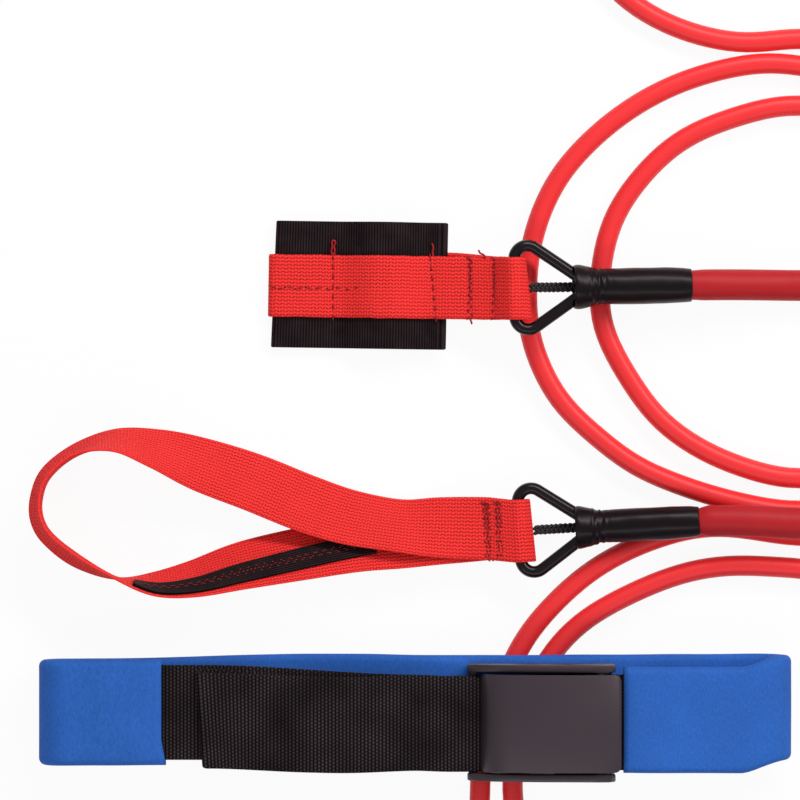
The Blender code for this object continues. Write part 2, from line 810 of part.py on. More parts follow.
def anchor_course():
    """The anchor loop's centreline with its roll in degrees: x, y, z, roll. The roll is 90 where
    the band lies face up, 0 where it stands on edge and -90 where it lies face down."""
    return [
        (34.5, -14.7, 13.0, 90),
        (10, -14.2, 11.6, 74),
        (-11, -13.3, 10.8, 56),
        (-37, -9.0, 9.4, 60),
        (-60, -1.8, 8.2, 66),
        (-87, 9.0, 7.9, 66),
        (-113, 18.0, 9.9, 58),
        (-138, 26.6, 13.8, 37),
        (-160, 31.0, 16.6, 14),
        (-180, 26.5, 16.9, -4),
        (-195, 14.6, 16.9, -10),
        (-200.3, 1.6, 16.9, 2),
        (-199.8, -10.4, 16.8, 14),
        (-193.5, -20.8, 16.7, 18),
        (-178.4, -32.2, 16.7, 17),
        (-158, -40.6, 16.8, 5),
        (-138, -43.4, 16.2, -18),
        (-118, -40.8, 14.6, -34),
        (-92, -33.8, 12.6, -48),
        (-60, -27.5, 10.8, -56),
        (-33, -23.0, 9.6, -60),
        (-11, -20.6, 9.0, -66),
        (10, -17.6, 9.6, -76),
        (34.5, -14.9, 11.1, -90),
    ]


def rolled_station(here, ahead, roll):
    """Where the band is, its direction across and its outer face's normal."""
    along = (ahead - here).normalized()
    outward = along.cross(UP).normalized()
    lift = outward.cross(along)
    if lift.z < 0:
        lift = -lift
    angle = math.radians(roll)
    normal = (outward * math.cos(angle) + lift * math.sin(angle)).normalized()
    return here, along.cross(normal).normalized(), normal


def anchor_band():
    """Stations of the anchor loop between the sewn joint's two sides."""
    points = smooth(anchor_course(), 11.0)
    found = []
    for index, (x, y, z, roll) in enumerate(points):
        near = points[min(index + 1, len(points) - 1)]
        back = points[max(index - 1, 0)]
        ahead = Vector((x, y, z)) + Vector(near[:3]) - Vector(back[:3])
        found.append(rolled_station(Vector((x, y, z)), ahead, roll))
    return found


def build_anchor_strap(pivot):
    bar = ENDS["b"]["bar"]
    stations = [(centre, across) for centre, across, _ in anchor_band()]
    yaw = Matrix.Rotation(math.radians(ENDS["b"]["turn"]), 3, "Z")
    turn = []
    for x, z in wrap_round_bar(bar):
        from_bar = Vector((x - bar.x, 0, z - bar.z))
        turn.append((bar + yaw @ from_bar, yaw @ ACROSS))
    made = ribbon(
        "anchor_strap", stations + turn, STRAP_W, STRAP_T, RED_WEBBING,
        closed=True, place=pivot.matrix_world.copy(),
    )
    hang_on(made, pivot)


def build_grip_strip(pivot):
    """The black strip sewn on the inner face of the loop's lower side, drifting across it."""
    offset = STRAP_T / 2 + GRIP_LIFT + GRIP_T / 2
    band = anchor_band()
    lower = band[len(band) // 2:]
    chosen = [station for station in lower if GRIP_LEFT < station[0].x < GRIP_RIGHT]
    stations = []
    for index, (centre, across, normal) in enumerate(chosen):
        drift = 6.0 - 11.0 * index / (len(chosen) - 1)
        stations.append((centre - normal * offset - across * drift, across))
    made = ribbon(
        "grip_strip", stations, GRIP_W, GRIP_T, BLACK_WEBBING, place=pivot.matrix_world.copy()
    )
    hang_on(made, pivot)


def front_y(x):
    """The belt's middle across Y on its upper layer, which lies a little askew."""
    return FRONT_Y_LEFT + (FRONT_Y - FRONT_Y_LEFT) * ease((x + 112.0) / 112.0)


def back_z(x):
    """The lower layer's middle height: on the floor at the ends, over the tube between."""
    rise = ease((x - (ARCH_LEFT - ARCH_RUN)) / ARCH_RUN) * ease((ARCH_RIGHT + ARCH_RUN - x) / ARCH_RUN)
    return BACK_FLOOR_Z + (BACK_ARCH_Z - BACK_FLOOR_Z) * rise


def belt_loop(left_end, right_end):
    """The belt's middle line from a place on its left front, round the left fold, along the back,
    round the right fold, to a place on its right front, as (x, y, z, normal angle)."""
    left_r = (WEB_Z - BACK_FLOOR_Z) / 2
    right_r = (TAIL_Z - BACK_FLOOR_Z) / 2
    left_x = BELT_LEFT + FOAM_T / 2 + left_r
    right_x = BELT_RIGHT - FOAM_T / 2 - right_r
    line = [(x, front_y(x), WEB_Z) for x in steps_between(left_end, left_x, 12.0)]
    turn = 9
    for step in range(1, turn):
        angle = math.radians(90 + 180 * step / turn)
        y = FRONT_Y_LEFT + (BACK_Y - FRONT_Y_LEFT) * step / turn
        line.append(
            (left_x + left_r * math.cos(angle), y, BACK_FLOOR_Z + left_r + left_r * math.sin(angle))
        )
    line += [(x, BACK_Y, back_z(x)) for x in steps_between(left_x, right_x, 11.0)]
    for step in range(1, turn):
        angle = math.radians(-90 + 180 * step / turn)
        y = BACK_Y + (FRONT_Y - BACK_Y) * step / turn
        line.append(
            (right_x + right_r * math.cos(angle), y, BACK_FLOOR_Z + right_r + right_r * math.sin(angle))
        )
    line += [(x, FRONT_Y, TAIL_Z) for x in steps_between(right_x, right_end, 12.0)]
    return [Vector(point) for point in line]


def band_rings(line, section):
    """A section of (across, outward) points swept along a line that turns about Y."""
    rings = []
    for index, here in enumerate(line):
        back = line[max(index - 1, 0)]
        ahead = line[min(index + 1, len(line) - 1)]
        along = (ahead - back)
        along.y = 0
        along.normalize()
        outward = along.cross(ACROSS)
        rings.append([here + ACROSS * across + outward * out for across, out in section])
    return rings


def rounded_section(width, height, radius, steps):
    points = []
    for quarter, (side, top) in enumerate(((1, 1), (-1, 1), (-1, -1), (1, -1))):
        for step in range(steps + 1):
            angle = math.radians(90 * quarter + 90 * step / steps)
            points.append(
                (
                    side * (width / 2 - radius) + radius * math.cos(angle),
                    top * (height / 2 - radius) + radius * math.sin(angle),
                )
            )
    return points


def build_foam():
    """The foam sleeve with its slot for the webbing."""
    outside = loft(
        "foam_sleeve",
        band_rings(
            belt_loop(FOAM_FRONT_END_LEFT, FOAM_FRONT_END_RIGHT),
            rounded_section(FOAM_W, FOAM_T, FOAM_CORNER_R, 3),
        ),
        BLUE_FOAM,
    )
    slot_w, slot_t = BELT_W + 2 * LOOSE, BELT_T + 2 * LOOSE
    corners = [(slot_w / 2, slot_t / 2), (-slot_w / 2, slot_t / 2)]
    corners += [(-slot_w / 2, -slot_t / 2), (slot_w / 2, -slot_t / 2)]
    slot = loft(
        "webbing_slot",
        band_rings(belt_loop(FOAM_FRONT_END_LEFT + 2, FOAM_FRONT_END_RIGHT - 2), corners),
        BLUE_FOAM,
        CUTTERS,
    )
    boolean(outside, slot, "DIFFERENCE")


def build_belt_webbing():
    """The fixed webbing: sewn round the buckle's bar, along the left front, through the foam and
    up into the right front, where the free part takes over."""
    bar_x = BUCKLE_LEFT + BAR_W + 0.2
    wrap_r = (WEB_Z - RETURN_Z) / 2
    turn_x = bar_x - 0.2
    line = []
    for x in steps_between(2.0, turn_x, 5.0):
        lift = (WEB_Z - BELT_T - TOUCH - RETURN_Z) * ease((22.0 - x) / 12.0)
        line.append((x, RETURN_Z + lift))
    line += half_turn(turn_x, RETURN_Z + wrap_r, wrap_r, -90, 90, 6)
    line += [(x, WEB_Z) for x in steps_between(turn_x, FOAM_FRONT_END_LEFT + 8, 20.0)]
    stations = across_stations(line, front_y)
    stations += [(point, ACROSS) for point in belt_loop(FOAM_FRONT_END_LEFT, WEB_HIDDEN_END)]
    ribbon("belt_webbing", stations, BELT_W - 1.0, BELT_T, BLACK_WEBBING)


def build_belt_tail():
    """The free webbing: out of the right foam, under the lever, left along the belt and folded
    back under itself."""
    line = [(x, TAIL_Z) for x in steps_between(TAIL_HIDDEN_END, 0.0, 15.0)]
    top_z = TAIL_RETURN_Z + 2 * TAIL_FOLD_R
    for x in steps_between(0.0, TAIL_FOLD, 6.0)[1:]:
        line.append((x, TAIL_Z + (top_z - TAIL_Z) * ease(-x / 55.0)))
    line += half_turn(TAIL_FOLD, TAIL_RETURN_Z + TAIL_FOLD_R, TAIL_FOLD_R, 90, 270, 6)
    line += [(x, TAIL_RETURN_Z) for x in steps_between(TAIL_FOLD, TAIL_RETURN_END, 15.0)]

    def middle(x):
        return FRONT_Y + 0.8 * ease((-x - 20.0) / 90.0)

    ribbon("belt_tail", across_stations(line, middle), TAIL_W, BELT_T, BLACK_WEBBING)


def rail_outline():
    """A buckle rail seen from the side."""
    foot = RETURN_Z - BELT_T / 2 + 0.1
    return [
        (BUCKLE_LEFT + 1.5, foot),
        (BUCKLE_RIGHT - 2.5, foot),
        (BUCKLE_RIGHT, foot + 2.5),
        (BUCKLE_RIGHT, PIN_Z + 1.5),
        (BUCKLE_RIGHT - 2.5, PIN_Z + 5.0),
        (PIN_X - 6.0, PIN_Z + 6.0),
        (PIN_X - 32.0, PIN_Z + 4.5),
        (PIN_X - 54.0, PIN_Z + 0.5),
        (BUCKLE_LEFT + 3.0, PIN_Z - 6.0),
        (BUCKLE_LEFT, PIN_Z - 9.0),
        (BUCKLE_LEFT, foot + 1.5),
    ]


def build_buckle_frame():
    """Two rails, the bar that the fixed webbing is sewn round, and the ribbed floor under the
    lever's cam, with a boss and a hole for the pin in each rail."""
    rail_y = RAIL_GAP / 2 + RAIL_T / 2
    frame = side_plate("buckle_frame", rail_outline(), RAIL_T / 2, FRONT_Y + rail_y, BLACK_PLASTIC)
    other = side_plate("rail_near", rail_outline(), RAIL_T / 2, FRONT_Y - rail_y, BLACK_PLASTIC, CUTTERS)
    for rail in (frame, other):
        bevel = rail.modifiers.new("edges", "BEVEL")
        bevel.width = 0.9 * MM
        bevel.segments = 2
        bevel.limit_method = "ANGLE"
    boolean(frame, other, "UNION")
    span = RAIL_GAP / 2 + 1.0
    bar_left = BUCKLE_LEFT + 0.7
    bar = [
        (bar_left + 0.8, BAR_Z - BAR_T / 2),
        (bar_left + BAR_W - 0.8, BAR_Z - BAR_T / 2),
        (bar_left + BAR_W, BAR_Z - BAR_T / 2 + 0.8),
        (bar_left + BAR_W, BAR_Z + BAR_T / 2 - 0.8),
        (bar_left + BAR_W - 0.8, BAR_Z + BAR_T / 2),
        (bar_left + 0.8, BAR_Z + BAR_T / 2),
        (bar_left, BAR_Z + BAR_T / 2 - 0.8),
        (bar_left, BAR_Z - BAR_T / 2 + 0.8),
    ]
    boolean(frame, side_plate("strap_bar", bar, span, FRONT_Y, BLACK_PLASTIC, CUTTERS), "UNION")
    top = TAIL_Z - BELT_T / 2 - TOUCH
    floor_left, floor_right = PIN_X - 24.0, BUCKLE_RIGHT - 1.5
    ribs = 6
    pitch = (floor_right - floor_left) / ribs
    floor = [(floor_left, top - 3.2), (floor_right, top - 3.2)]
    for rib in range(ribs):
        edge = floor_right - rib * pitch
        floor += [(edge, top), (edge - pitch * 0.6, top), (edge - pitch * 0.8, top - 0.6)]
    floor.append((floor_left, top - 0.6))
    boolean(frame, side_plate("floor_plate", floor, span, FRONT_Y, BLACK_PLASTIC, CUTTERS), "UNION")
    boss_length = (RAIL_GAP - LEVER_W) / 2 - TOUCH
    for side in (-1, 1):
        y = FRONT_Y + side * (RAIL_GAP / 2 - boss_length / 2 + 0.5)
        boss = cross_pin(
            "pin_boss", PIN_X, PIN_Z, BOSS_D / 2, boss_length + 1.0, y, BLACK_PLASTIC, CUTTERS
        )
        boolean(frame, boss, "UNION")
    hole = cross_pin(
        "pin_hole", PIN_X, PIN_Z, PIN_D / 2 + PIN_CLEARANCE, RAIL_GAP + 4 * RAIL_T, FRONT_Y,
        BLACK_PLASTIC, CUTTERS,
    )
    boolean(frame, hole, "DIFFERENCE")


def lever_outline():
    """The lever in X and Z about the pin: a shallow dome with a toothed cam under the pin. Its
    dome is given as shares of the nose's or the tail's length and of the crown's height."""
    nose = [(0.97, 0.7), (1.0, 0.8), (0.87, 0.88), (0.49, 0.96)]
    tail = [
        (0.065, 1.0), (0.326, 0.98), (0.554, 0.874), (0.749, 0.67), (0.879, 0.379), (0.954, 0.02),
        (0.99, -0.35), (1.0, -0.602), (0.967, -0.602), (0.935, -0.214), (0.857, 0.155),
        (0.733, 0.427), (0.537, 0.621), (0.326, 0.718), (0.179, 0.7), (0.13, 0.388),
    ]
    outline = [(LEVER_NOSE * x, LEVER_CROWN * z) for x, z in nose]
    outline += [(-LEVER_TAIL * x, LEVER_CROWN * z) for x, z in tail]
    teeth = 5
    for tooth in range(teeth):
        angle = math.radians(205 + 16 * tooth)
        outline.append((CAM_R * math.cos(angle), CAM_R * math.sin(angle)))
        angle += math.radians(9)
        outline.append(((CAM_R - 0.8) * math.cos(angle), (CAM_R - 0.8) * math.sin(angle)))
    for angle in (285, 305, 325, 345, 365):
        turn = math.radians(angle)
        outline.append(((CAM_R - 0.9) * math.cos(turn), (CAM_R - 0.9) * math.sin(turn)))
    outline.append((7.4, 5.0))
    return outline


def build_lever():
    """The lever, its origin on the pin's axis, with rounded corners in plan."""
    pivot = empty(
        "lever_pivot", Matrix.Translation(Vector((PIN_X, FRONT_Y, PIN_Z)) * MM)
    )
    outline = [(PIN_X + x, PIN_Z + z) for x, z in lever_outline()]
    lever = side_plate("buckle_lever", outline, LEVER_W / 2, FRONT_Y, BLACK_PLASTIC)
    left, right = PIN_X - LEVER_TAIL - 1.6, PIN_X + LEVER_NOSE
    near, far = FRONT_Y - LEVER_W / 2, FRONT_Y + LEVER_W / 2
    corner = LEVER_CORNER_R
    plan = []
    for x, y, start in (
        (right - corner, far - corner, 0),
        (left + corner, far - corner, 90),
        (left + corner, near + corner, 180),
        (right - corner, near + corner, 270),
    ):
        for step in range(6):
            angle = math.radians(start + 18 * step)
            plan.append((x + corner * math.cos(angle), y + corner * math.sin(angle)))
    rings = [[(x, y, z) for x, y in plan] for z in (PIN_Z - 12.0, PIN_Z + 14.0)]
    boolean(lever, loft("lever_plan", rings, BLACK_PLASTIC, CUTTERS), "INTERSECT")
    hole = cross_pin(
        "lever_bore", PIN_X, PIN_Z, PIN_D / 2 + PIN_CLEARANCE, LEVER_W + 4, FRONT_Y,
        BLACK_PLASTIC, CUTTERS,
    )
    boolean(lever, hole, "DIFFERENCE")
    hang_on(lever, pivot)


def build_pin():
    cross_pin("buckle_pin", PIN_X, PIN_Z, PIN_D / 2, RAIL_GAP + 2 * RAIL_T - 1.0, FRONT_Y, STEEL)


def main():
    for letter, end in ENDS.items():
        build_tether_end(letter, end)
    build_tube()
    slider_pivot = empty("slider_pivot", Matrix.Translation(ENDS["a"]["bar"] * MM))
    bpy.context.view_layer.update()
    build_slider_sleeve(slider_pivot)
    build_slider_strap(slider_pivot)
    anchor_pivot = empty("anchor_pivot", Matrix.Translation(ENDS["b"]["bar"] * MM))
    bpy.context.view_layer.update()
    build_anchor_strap(anchor_pivot)
    build_grip_strip(anchor_pivot)
    build_foam()
    build_belt_webbing()
    build_belt_tail()
    build_buckle_frame()
    build_lever()
    build_pin()


main()
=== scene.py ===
"""The look of a swim resistance belt and its tether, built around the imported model.

Shapes are worked out in millimetres, in the frame's own axes, and become metres in the mesh
helpers. X runs along the belt, Y from the belt towards the slider, Z is up from the floor."""

import math

import bmesh
import bpy
from bpy.props import FloatProperty, FloatVectorProperty, PointerProperty
from mathutils import Euler, Matrix, Vector, noise


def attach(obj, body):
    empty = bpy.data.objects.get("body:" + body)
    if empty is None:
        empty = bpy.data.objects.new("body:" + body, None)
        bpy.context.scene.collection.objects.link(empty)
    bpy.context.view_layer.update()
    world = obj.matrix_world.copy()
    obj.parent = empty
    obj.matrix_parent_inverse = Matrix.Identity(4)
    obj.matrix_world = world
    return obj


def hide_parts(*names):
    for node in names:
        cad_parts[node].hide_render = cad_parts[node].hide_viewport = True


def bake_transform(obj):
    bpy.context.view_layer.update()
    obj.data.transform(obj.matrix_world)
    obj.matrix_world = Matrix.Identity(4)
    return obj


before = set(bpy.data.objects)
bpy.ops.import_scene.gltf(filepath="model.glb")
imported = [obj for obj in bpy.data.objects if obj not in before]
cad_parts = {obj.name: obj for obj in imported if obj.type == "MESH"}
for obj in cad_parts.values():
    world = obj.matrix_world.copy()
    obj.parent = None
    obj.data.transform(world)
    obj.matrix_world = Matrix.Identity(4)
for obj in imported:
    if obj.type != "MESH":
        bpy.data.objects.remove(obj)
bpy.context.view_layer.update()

bl_info = {
    "name": "Swim resistance belt",
    "version": (1, 0, 0),
    "blender": (4, 5, 0),
    "location": "3D View > Sidebar > Swim Belt",
    "description": "Builds a swim resistance belt with its tether, webbing, foam and buckle",
    "category": "Add Mesh",
}

MM = 0.001
UP = Vector((0, 0, 1))
ACROSS = Vector((0, 1, 0))
ROOT = "tether_and_belt"

# Clearances between pieces and under the tube, and how near the points of a seam are
TOUCH = 0.3
LOOSE = 0.5
FLOOR_GAP = 0.05
WELD_GAP = 0.01

WHITE = (1.0, 1.0, 1.0, 1.0)

# How much of the floor's look is its own even white
PAPER_GLOW = 0.93

# How bright the studio's ceiling and its sides are
STUDIO_OVERHEAD = 0.5
STUDIO_SIDES = 0.3

# The tint of what the black mouldings reflect
WARM_GLOSS = (1.0, 0.84, 0.9)

# The strips of light: place and sides in metres, and power
LAMPS = {
    "near_strip": ((-0.1, -0.95, 1.15), (1.8, 0.25), 5.0),
    "far_strip": ((0.65, 1.0, 1.0), (1.8, 0.25), 20.0),
}

# The floor's half side in metres, and how far it is under the pieces
FLOOR_HALF = 6.0
FLOOR_DROP = 0.2

# Where the photograph looks, the side of what it shows, and the lens
VIEW_MIDDLE = Vector((-11.0, 52.0, 8.0))
VIEW_SIDE = 416.0
LENS = 250.0
SENSOR = 36.0

# The two tether ends: the ring bar's middle, the end's turn and tilt in degrees, the boot's radii
# at its collar, neck, middle and rear, where it starts and stops and what sets its creases apart,
# how far the strap's end is drawn in towards the bar, at its middle and from edge to middle, the
# middle of the end sleeve's rear and the body that the strap is on
ENDS = {
    "a": {
        "bar": Vector((48.3, 110.1, 22.4)),
        "turn": 0.9,
        "tilt": 2.8,
        "boot": (11.6, 8.7, 9.4, 8.6),
        "boot_from": 30.7,
        "boot_to": 91.6,
        "creases": 1.7,
        "tip": (0.62, 0.25),
        "sleeve_end": Vector((204.8, 111.5, 8.2)),
        "strap_body": "slider",
    },
    "b": {
        "bar": Vector((50.9, -15.9, 14.4)),
        "turn": 3.1,
        "tilt": -2.5,
        "boot": (11.3, 8.2, 8.6, 7.5),
        "boot_from": 29.2,
        "boot_to": 93.4,
        "creases": 5.3,
        "tip": (0.58, 0.12),
        "sleeve_end": Vector((204.8, -12.0, 17.6)),
        "strap_body": "anchor_loop",
    },
}
RING_HALF = 21.7
RING_CORNER_R = 6.9
RING_LENGTH = 35.5
BOOT_END = 93.6
BOOT_WALL = 0.9
PLUG_FACE = 35.4
PLUG_LENGTH = 21.0
SLEEVE_START = PLUG_FACE + PLUG_LENGTH + 9.5
STRAP_END_R = 2.0
STRAP_OVERHANG = 9.9
STRAP_HUG = 3.5
BEND_R = 40.0
TUBE_STEP = 5.0
WRAP_GAP = 0.7
TUBE_BORE_R = 2.95

# Where the end sleeve starts to swell and is at its full size, from the boot's rear
SWELL_START = -1.75
SWELL_END = 5.25

# Rounding of the edges of the two parts inside each boot
PLUG_EDGE = 0.2
CLAMP_EDGE = 0.1

# The boot's neck and the radius's blur, measured along the boot
NECK_AT = 12.5
BOOT_BLUR = 0.8

# The length of one turn of the safety cord's plait, and a strand's radius as a share of the
# cord's thickness
PLAIT = 7.5
STRAND_SHARE = 0.38

# Ribs along the edges of a band, as pitch and height, and how many rows of points make a rib
RED_RIBS = (3.4, 0.09)
BLACK_RIBS = (1.9, 0.06)
NO_RIBS = (4.0, 0.0)
ROWS_PER_RIB = 4

# The angle in degrees from which an edge stays sharp, and the one up to which faces are joined
SHARP_ANGLE = 32.0
FLAT_ANGLE = 1.0

# The strip sewn inside the anchor loop
GRIP_LEFT = -149.5
GRIP_RIGHT = -22.0

# How far the anchor loop's strap bows in across its width at the far end
ANCHOR_BOW = 3.2

# Rows of sewing by the anchor loop's ring, as distance from its bar and height
ANCHOR_ROWS = ((-16.6, 13.1), (-10.2, 15.2))

# The distance between the anchor loop's stations
ANCHOR_STEP = 2.2

# Slider
TUNNEL_LEFT = -44.5
TUNNEL_RIGHT = 5.0
TUNNEL_H = 8.0
PAD_LEFT = -77.0
PAD_RIGHT = 12.0
PAD_W = 66.0
PAD_T = 1.5
PAD_Y = 110.5
SLIDER_Y = 109.7
SLIDER_YAW = -0.9
SLIDER_LEFT = -79.6
SLIDER_RAMP_START = -30.0
SLIDER_TURN_RUN = 35.0
SEWN_FROM_BAR = 7.0

# The share of the tunnel's length that each of its slopes takes
TUNNEL_SLOPE = 0.45

# The share of the way from the slider's sleeve to the sewn end at which the strap's layers meet
MEET_SHARE = 0.625

# Sewing: the distance from turn to turn of a zigzag, and how high thread lies over a face
ZIGZAG_STEP = 2.0
THREAD_LIFT = 0.1

# Rows of sewing across the slider: two straight ones and two zigzags by the ring
SLIDER_ROWS = (-45.8, 6.2)
SLIDER_ZIGZAGS = (25.4, 37.9)

# How far a row of sewing pulls the strap's face down, and how wide a groove that makes
ROW_PULL = 0.35
ROW_GROOVE = 1.1

# How far the strap's lower layer shows beside its upper one near the ring
LOWER_ASIDE = 2.2

# Loose thread at the far end of each straight row, as distances along and out from the strap
LOOSE_THREADS = (
    (
        (0.5, -0.6), (0.9, 2.0), (0.5, 4.6), (1.2, 6.6), (0.4, 7.8),
        (-0.6, 7.0), (-0.5, 4.6), (-0.9, 2.0), (-0.4, -0.6),
    ),
    ((0.3, -0.8), (-0.3, 2.4), (0.1, 4.6), (-0.6, 6.8)),
)

LOOSE_THREAD_R = 0.5

# Loose ends beside the zigzags: where, on which side, how far out and how far along
LOOSE_ENDS = ((33.2, 1, 4.4, -3.4), (24.6, 1, 1.4, 0.3), (25.4, -1, 3.2, 0.8))

# Belt
BELT_LEFT = -198.2
BELT_RIGHT = 191.8
FOAM_FRONT_END_LEFT = -134.2
FOAM_FRONT_END_RIGHT = 104.4
FOAM_ASIDE = 1.3
FOAM_STEP = 3.0
FOAM_CORNER_R = 3.6
FOAM_SAG = 0.35
FOAM_CUT_LEAN = 2.2
FOAM_TUCK = 0.1
SLOT_CORNER_R = 1.0
FOAM_TO_WEB = 0.4

# How much narrower than the webbing its fixed and its free part are, to clear foam and buckle
FIXED_NARROWER = 1.0
FREE_NARROWER = 0.6
BACK_Y = -107.4
FRONT_Y_LEFT = -109.4
FRONT_Y = -114.4
ARCH_LEFT = 26.0
ARCH_RIGHT = 73.0
ARCH_RUN = 95.0
TAIL_FOLD = -112.0
TAIL_FOLD_R = 1.9
TAIL_LEAN = 3.9
TAIL_SHIFT = 1.9
TAIL_SAG = 0.9
TAIL_RISE = 1.5
TAIL_RETURN_END = -50.0
TAIL_HIDDEN_END = 135.0
WEB_HIDDEN_END = 170.0
BUCKLE_LEFT = 23.8
BAR_W = 4.5
BAR_T = 2.4
NEAR_RAIL_PULL = 0.8
PIN_X = 92.5
PIN_Z = 37.2
NOSE_DROP = 2.2


def linear(code):
    """An sRGB colour written as six hexadecimal digits, in linear light."""
    values = []
    for start in (0, 2, 4):
        share = int(code[start:start + 2], 16) / 255
        values.append(share / 12.92 if share <= 0.04045 else ((share + 0.055) / 1.055) ** 2.4)
    return tuple(values)


def length_property(name, description, default):
    return FloatProperty(
        name=name, description=description, default=default, min=0.0, unit="LENGTH", precision=5
    )


def colour_property(name, description, code):
    return FloatVectorProperty(
        name=name, description=description, default=linear(code), min=0.0, max=1.0, subtype="COLOR"
    )


class SwimBeltTetherSizes(bpy.types.PropertyGroup):
    """Sizes of the tether."""

    tube: length_property("Tube", "Outer diameter of the rubber tube", 0.0107)
    sleeve_wall: length_property("Sleeve wall", "Wall of the end sleeves", 0.0024)
    wire: length_property("Ring wire", "Diameter of the rings' wire", 0.0062)
    strap_width: length_property("Strap width", "Width of the red webbing", 0.0325)
    strap_thickness: length_property("Strap thickness", "Thickness of the red webbing", 0.0016)
    grip_width: length_property("Grip width", "Width of the strip sewn inside the loop", 0.013)
    grip_thickness: length_property("Grip thickness", "Thickness of that strip", 0.0014)
    cord_width: length_property("Safety cord", "Width of the flat safety cord", 0.0055)
    cord_thickness: length_property("Cord thickness", "Thickness of the safety cord", 0.0026)


class SwimBeltBeltSizes(bpy.types.PropertyGroup):
    """Sizes of the belt."""

    foam_width: length_property("Foam width", "Width of the foam sleeve", 0.0546)
    foam_thickness: length_property("Foam thickness", "Thickness of the foam sleeve", 0.01)
    webbing_width: length_property("Webbing width", "Width of the belt's webbing", 0.05)
    webbing_thickness: length_property("Webbing thickness", "Thickness of that webbing", 0.0016)
    edge_radius: length_property("Buckle edges", "Rounding of the buckle's edges", 0.0006)


class SwimBeltStitchSizes(bpy.types.PropertyGroup):
    """Sizes of the sewing."""

    stitch: length_property("Stitch", "Length of one stitch", 0.0024)
    pitch: length_property("Pitch", "Distance from stitch to stitch", 0.003)
    thread: length_property("Thread", "Thickness of the thread", 0.0008)


class SwimBeltColours(bpy.types.PropertyGroup):
    """Colours of the finishes."""

    tube: colour_property("Tube", "Red rubber tube", "F43034")
    sleeve: colour_property("End sleeve", "Dull red rubber sleeve", "B81C23")
    red_webbing: colour_property("Red webbing", "Slider strap and anchor loop", "FF3331")
    thread: colour_property("Thread", "Red sewing thread", "9C1118")
    black_webbing: colour_property("Black webbing", "Belt webbing", "0B0607")
    # The grey of the yarn crests is a painted sheen
    webbing_crest_sheen: colour_property("Webbing crests", "Yarn crests of the belt webbing", "4D4346")
    grosgrain: colour_property("Grosgrain", "Slider sleeve and grip strip", "1C1416")
    foam: colour_property("Foam", "Foam sleeve", "2B61B6")
    buckle: colour_property("Buckle", "Moulded buckle", "2E262D")
    enamel: colour_property("Enamel", "Enamelled ring wire", "0A0809")
    boot: colour_property("Boot", "Shrink boot over each tube end", "0B0709")
    steel: colour_property("Steel", "Buckle pin and hose clamps", "B4B4B8")
    floor: colour_property("Floor", "Floor under the belt", "FAFAFA")


def in_mm(value):
    """A length property, which is in metres, as millimetres."""
    return value / MM


def tether(name):
    """One of the tether's sizes, in millimetres."""
    return in_mm(getattr(bpy.context.scene.swim_belt_tether, name))


def belt(name):
    """One of the belt's sizes, in millimetres."""
    return in_mm(getattr(bpy.context.scene.swim_belt_belt, name))


# Curves and stations


def bell(share):
    """1 at zero, falling off smoothly to both sides."""
    return math.exp(-share * share)


def ease(share):
    """A smooth step from 0 to 1."""
    share = min(max(share, 0.0), 1.0)
    return share * share * (3 - 2 * share)


def ramp(value, start, end):
    """A smooth step from 0 at start to 1 at end, whichever of the two is larger."""
    return ease((value - start) / (end - start))


def turned(degrees):
    """A turn about the upright axis."""
    return Matrix.Rotation(math.radians(degrees), 3, "Z")


def between(share, before, start, end, after):
    """The value a share of the way from start to end, on a smooth curve through all four."""
    bend = 2 * before - 5 * start + 4 * end - after
    twist = 3 * start - before - 3 * end + after
    return start + ((end - before) * share + bend * share**2 + twist * share**3) / 2


def smooth(points, step):
    """Points about a step apart on a smooth curve through these; a point may carry more numbers."""
    last = len(points) - 1
    found = []
    for index in range(last):
        around = [points[min(max(index + k, 0), last)] for k in (-1, 0, 1, 2)]
        pieces = max(1, round(math.dist(around[1][:3], around[2][:3]) / step))
        for piece in range(pieces):
            found.append(tuple(between(piece / pieces, *four) for four in zip(*around)))
    found.append(tuple(points[-1]))
    return found


def steps_between(start, end, step):
    """Values about a step apart from start to end, both included."""
    count = max(1, round(abs(end - start) / step))
    return [start + (end - start) * k / count for k in range(count + 1)]


def arc(centre_x, centre_y, radii, start, end, count):
    """Points in X and Y on an ellipse between two angles."""
    along_x, along_y = radii
    points = []
    for index in range(count):
        angle = math.radians(start + (end - start) * index / (count - 1))
        points.append((centre_x + along_x * math.cos(angle), centre_y + along_y * math.sin(angle)))
    return points


def on_circle(centre_x, centre_z, radius, degrees):
    """A point of a circle in X and Z."""
    angle = math.radians(degrees)
    return centre_x + radius * math.cos(angle), centre_z + radius * math.sin(angle)


def half_turn(centre_x, centre_z, radius, start, end, count):
    """Points of an arc in X and Z, its two ends left out."""
    return [
        on_circle(centre_x, centre_z, radius, start + (end - start) * index / count)
        for index in range(1, count)
    ]


def distances(line):
    """How far along a line each of its points is."""
    found = [0.0]
    for before, here in zip(line, line[1:]):
        found.append(found[-1] + (here - before).length)
    return found


def end_place(end):
    """Where a tether end's own frame is, with its origin at the ring's bar."""
    turn = Euler((0, math.radians(end["tilt"]), math.radians(end["turn"])), "XYZ")
    return Matrix.Translation(end["bar"]) @ turn.to_matrix().to_4x4()


def end_point(end, along, height=0.0):
    return end_place(end) @ Vector((along, 0, height))


